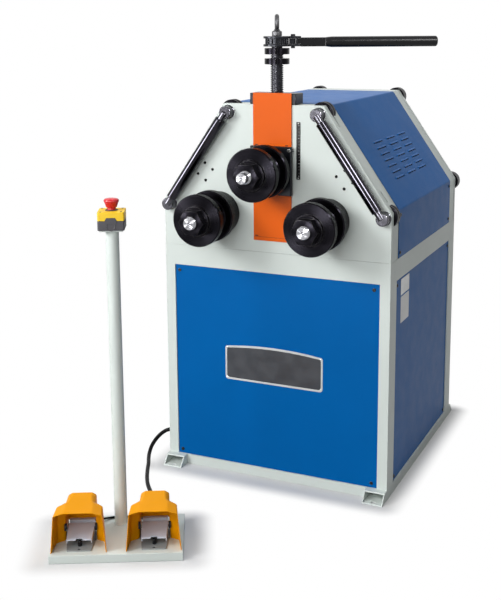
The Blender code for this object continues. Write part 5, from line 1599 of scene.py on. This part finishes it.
def addBadge(rivets, box, crown, corner, face, thick, lift, shrink, rivetInset, rivet):
    x0, z0, x1, z1 = box
    middle, centre = (x0 + x1) / 2, (z0 + z1) / 2 + lift
    arch = [(x1 - (x1 - x0) * i / 24, z1 + crown * (1 - (2 * i / 24 - 1) ** 2)) for i in range(25)]
    outline = eased([(x0, z0), (x1, z0)] + arch, corner, 4, True)
    inner = [(middle + (x - middle) * shrink[0], centre + (z - centre) * shrink[1]) for x, z in outline]
    upright = facingFront(y=face)
    for name, outlines, high, edge, paint, slot in (
            ("badge_border", [outline, inner], thick, 0.0003, "platePaint", "bright_steel"),
            ("badge_blank", [inner], thick - 0.0005, 0.0002, "badgePaint", "black_plastic")):
        form = bmesh.new()
        plateInto(form, outlines, -0.0002, high, upright, edge)
        addPiece(name, form, "frame", paint)
    across, low, high = rivetInset
    for x in (x0 + across, x1 - across):
        for z in (z0 + low, z1 - high):
            latheInto(rivets, rivet, 20, upright @ shifted(x, z, thick - 0.0001))


def addSidePlate(rivets, name, box, thick, paint, riveted):
    look = sidePlateLook
    y0, z0, y1, z1 = box
    turn = shifted(*at(look["face"], 0, 0)) @ sideways
    inset = look["rivetInset"]
    form = bmesh.new()
    plateInto(form, [eased(rectangle(*box), look["corner"], 3, True)], -0.0002, thick, turn, 0.0002)
    addPiece(f"{name}_plate", form, "frame", paint)
    if riveted:
        for y in (y0 + inset, y1 - inset):
            for z in (z0 + inset, z1 - inset):
                latheInto(rivets, look["rivet"], 16, turn @ shifted(y, z, thick - 0.0001))


def addBlankPlates():
    rivets = bmesh.new()
    addBadge(rivets, **badgeLook)
    for name, look in sidePlates.items():
        addSidePlate(rivets, name, **look)
    addPiece("plate_rivets", rivets, "frame", "brightMilled")


addScale(**scaleLook)
addPointer()
addBlankPlates()


# cable gland: hexagon, dome nut and its rubber

glandLook = {
    "place": (0, 0.085, 0.062),
    "profile": [(0, 0.335), (0.008, 0.335), (0.008, 0.3473), (0.0118, 0.3473), (0.0120, 0.350),
                (0.0118, 0.3520), (0.0095, 0.3522), (0.0095, 0.361), (0.0088, 0.366), (0.0062, 0.372),
                (0, 0.372)],
    "hexagon": (0.0205, 0.3520, 0.3590),
}


def addGland():
    form = bmesh.new()
    place = shifted(*at(*glandLook["place"])) @ turned(-90, "Y")
    latheInto(form, eased(glandLook["profile"], 0.0006, 2), 48, place)
    hexInto(form, *glandLook["hexagon"], place=place, bothEnds=True)
    addPiece("cable_gland_form", form, "frame", "blackPlastic", ["cable_gland"])


addGland()
print("louvres, screws, plates and gland made")


# floor, lamps and surroundings

floorLook = {
    "half": 14.0,
    "height": -0.0004,
    "shadowReach": 0.07,
    "lit": 0.36,
    "seen": 0.56,
    "lift": 0.06,
    "feet": (  # middle, turn and half size
        (at(0, 0.359, 0), 0, (0.35, 0.40)),
        (onStand(0, 0.11, 0), layout["standTurn"], (0.19, 0.11)),
    ),
}
skyLook = {"ambient": 0.13, "seen": 1.0}
lamps = {  # place, aim, size, power, lights the surfaces, shows in the gloss
    "key": ((-2.1, -2.7, 2.5), (0.0, 0.1, 0.7), 1.8, 112.0, True, True),
    "front": ((0.2, -4.6, 2.4), (0.0, 0.0, 0.7), 3.4, 124.0, True, False),
    "top": ((0.0, 0.2, 4.2), (0.0, 0.3, 0.0), 2.4, 70.0, True, False),
    "back": ((0.8, 4.2, 2.6), (0.0, 0.4, 0.8), 2.4, 28.0, True, False),
    "frontGloss": ((-0.26, -3.0, 0.87), (0.23, 0.0, 0.95), 0.70, 68.0, False, True),
    "rightGloss": ((2.37, -1.2, 2.7), (0.23, 0.0, 0.95), 0.80, 88.0, False, True),
    "leftGloss": ((-2.67, -2.53, 1.06), (-0.23, 0.0, 0.95), 1.05, 120.0, False, True),
}


# How far a place on the floor lies outside one foot of the machine
def footDistance(tree, place, middle, angle, half):
    moved = vectorMath(tree, "SUBTRACT", place, middle)
    parts = []
    for axis, reach in zip(turned(angle, "Z").to_3x3().transposed(), half):
        part = calculate(tree, "ABSOLUTE", vectorMath(tree, "DOT_PRODUCT", moved, axis))
        parts.append(calculate(tree, "MAXIMUM", calculate(tree, "SUBTRACT", part, reach), 0.0))
    return vectorMath(tree, "LENGTH", pair(tree, *parts))


# 1 where the camera, a mirror or glass looks, 0 for the light that falls on things
def seenRays(tree):
    path = addNode(tree, "ShaderNodeLightPath").outputs
    seen = calculate(tree, "MAXIMUM", path["Is Camera Ray"], path["Is Glossy Ray"])
    return calculate(tree, "MAXIMUM", seen, path["Is Transmission Ray"])


# Near the feet the floor is a grey diffuse surface, darker than the white beyond even where lit: it holds the
# real cast shadow and a painted shadow halo; further out it turns to white emission
def addFloor():
    look = floorLook
    form = bmesh.new()
    corners = rectangle(-look["half"], -look["half"], look["half"], look["half"])
    form.faces.new(pointsInto(form, [(x, y, look["height"]) for x, y in corners]))
    mesh = bpy.data.meshes.new("floor")
    form.to_mesh(mesh)
    form.free()
    material = bpy.data.materials.new("paleFloorPaintedShadow")
    material.use_nodes = True
    tree = material.node_tree
    tree.nodes.clear()
    seen = seenRays(tree)
    place = addNode(tree, "ShaderNodeTexCoord").outputs["Object"]
    cloud = remap(tree, noise(tree, place, 3.0, 4.0), 0.3, 0.7, 0.985, 1.0)
    pale = calculate(tree, "MULTIPLY", blendValues(tree, seen, look["lit"], look["seen"]), cloud)
    colour = addNode(tree, "ShaderNodeCombineColor", {0: pale, 1: pale, 2: pale}).outputs[0]
    matt = addNode(tree, "ShaderNodeBsdfDiffuse", {"Color": colour}).outputs[0]
    glow = calculate(tree, "MULTIPLY", seen, look["lift"])
    lift = addNode(tree, "ShaderNodeEmission", {"Strength": glow}).outputs[0]
    near = addNode(tree, "ShaderNodeAddShader", {0: matt, 1: lift}).outputs[0]
    # Grey near the feet, white from shadowReach outwards: a painted shadow halo round the feet
    away = calculate(tree, "MINIMUM", *(footDistance(tree, place, *foot) for foot in look["feet"]))
    wires = {"Value": away, "From Min": 0.0, "From Max": look["shadowReach"]}
    fade = addNode(tree, "ShaderNodeMapRange", wires, interpolation_type="SMOOTHSTEP").outputs["Result"]
    fade = calculate(tree, "MULTIPLY", fade, seen)
    white = addNode(tree, "ShaderNodeEmission", {"Strength": 1.0}).outputs[0]
    surface = addNode(tree, "ShaderNodeMixShader", {0: fade, 1: near, 2: white}).outputs[0]
    addNode(tree, "ShaderNodeOutputMaterial", {"Surface": surface})
    mesh.materials.append(material)
    addToScene("floor", mesh)


def addSky():
    world = bpy.data.worlds.new("studio")
    world.use_nodes = True
    tree = world.node_tree
    tree.nodes.clear()
    strength = blendValues(tree, seenRays(tree), skyLook["ambient"], skyLook["seen"])
    wires = {"Color": (1, 1, 1, 1), "Strength": strength}
    background = addNode(tree, "ShaderNodeBackground", wires).outputs[0]
    addNode(tree, "ShaderNodeOutputWorld", {"Surface": background})
    bpy.context.scene.world = world


def addLamp(name, place, aim, size, power, lights, mirrored):
    light = setAll(bpy.data.lights.new(name, "AREA"), {
        "shape": "RECTANGLE", "size": size, "size_y": size * 0.7, "energy": power})
    lamp = setAll(addToScene(name, light), {"visible_diffuse": lights, "visible_glossy": mirrored})
    turn = (at(*place) - at(*aim)).to_track_quat("Z", "Y")
    lamp.matrix_world = shifted(*at(*place)) @ turn.to_matrix().to_4x4()


addFloor()
addSky()
for lampName, lampLook in lamps.items():
    addLamp(lampName, *lampLook)
bpy.context.scene.view_settings.view_transform = "Standard"
print("floor and lamps set")
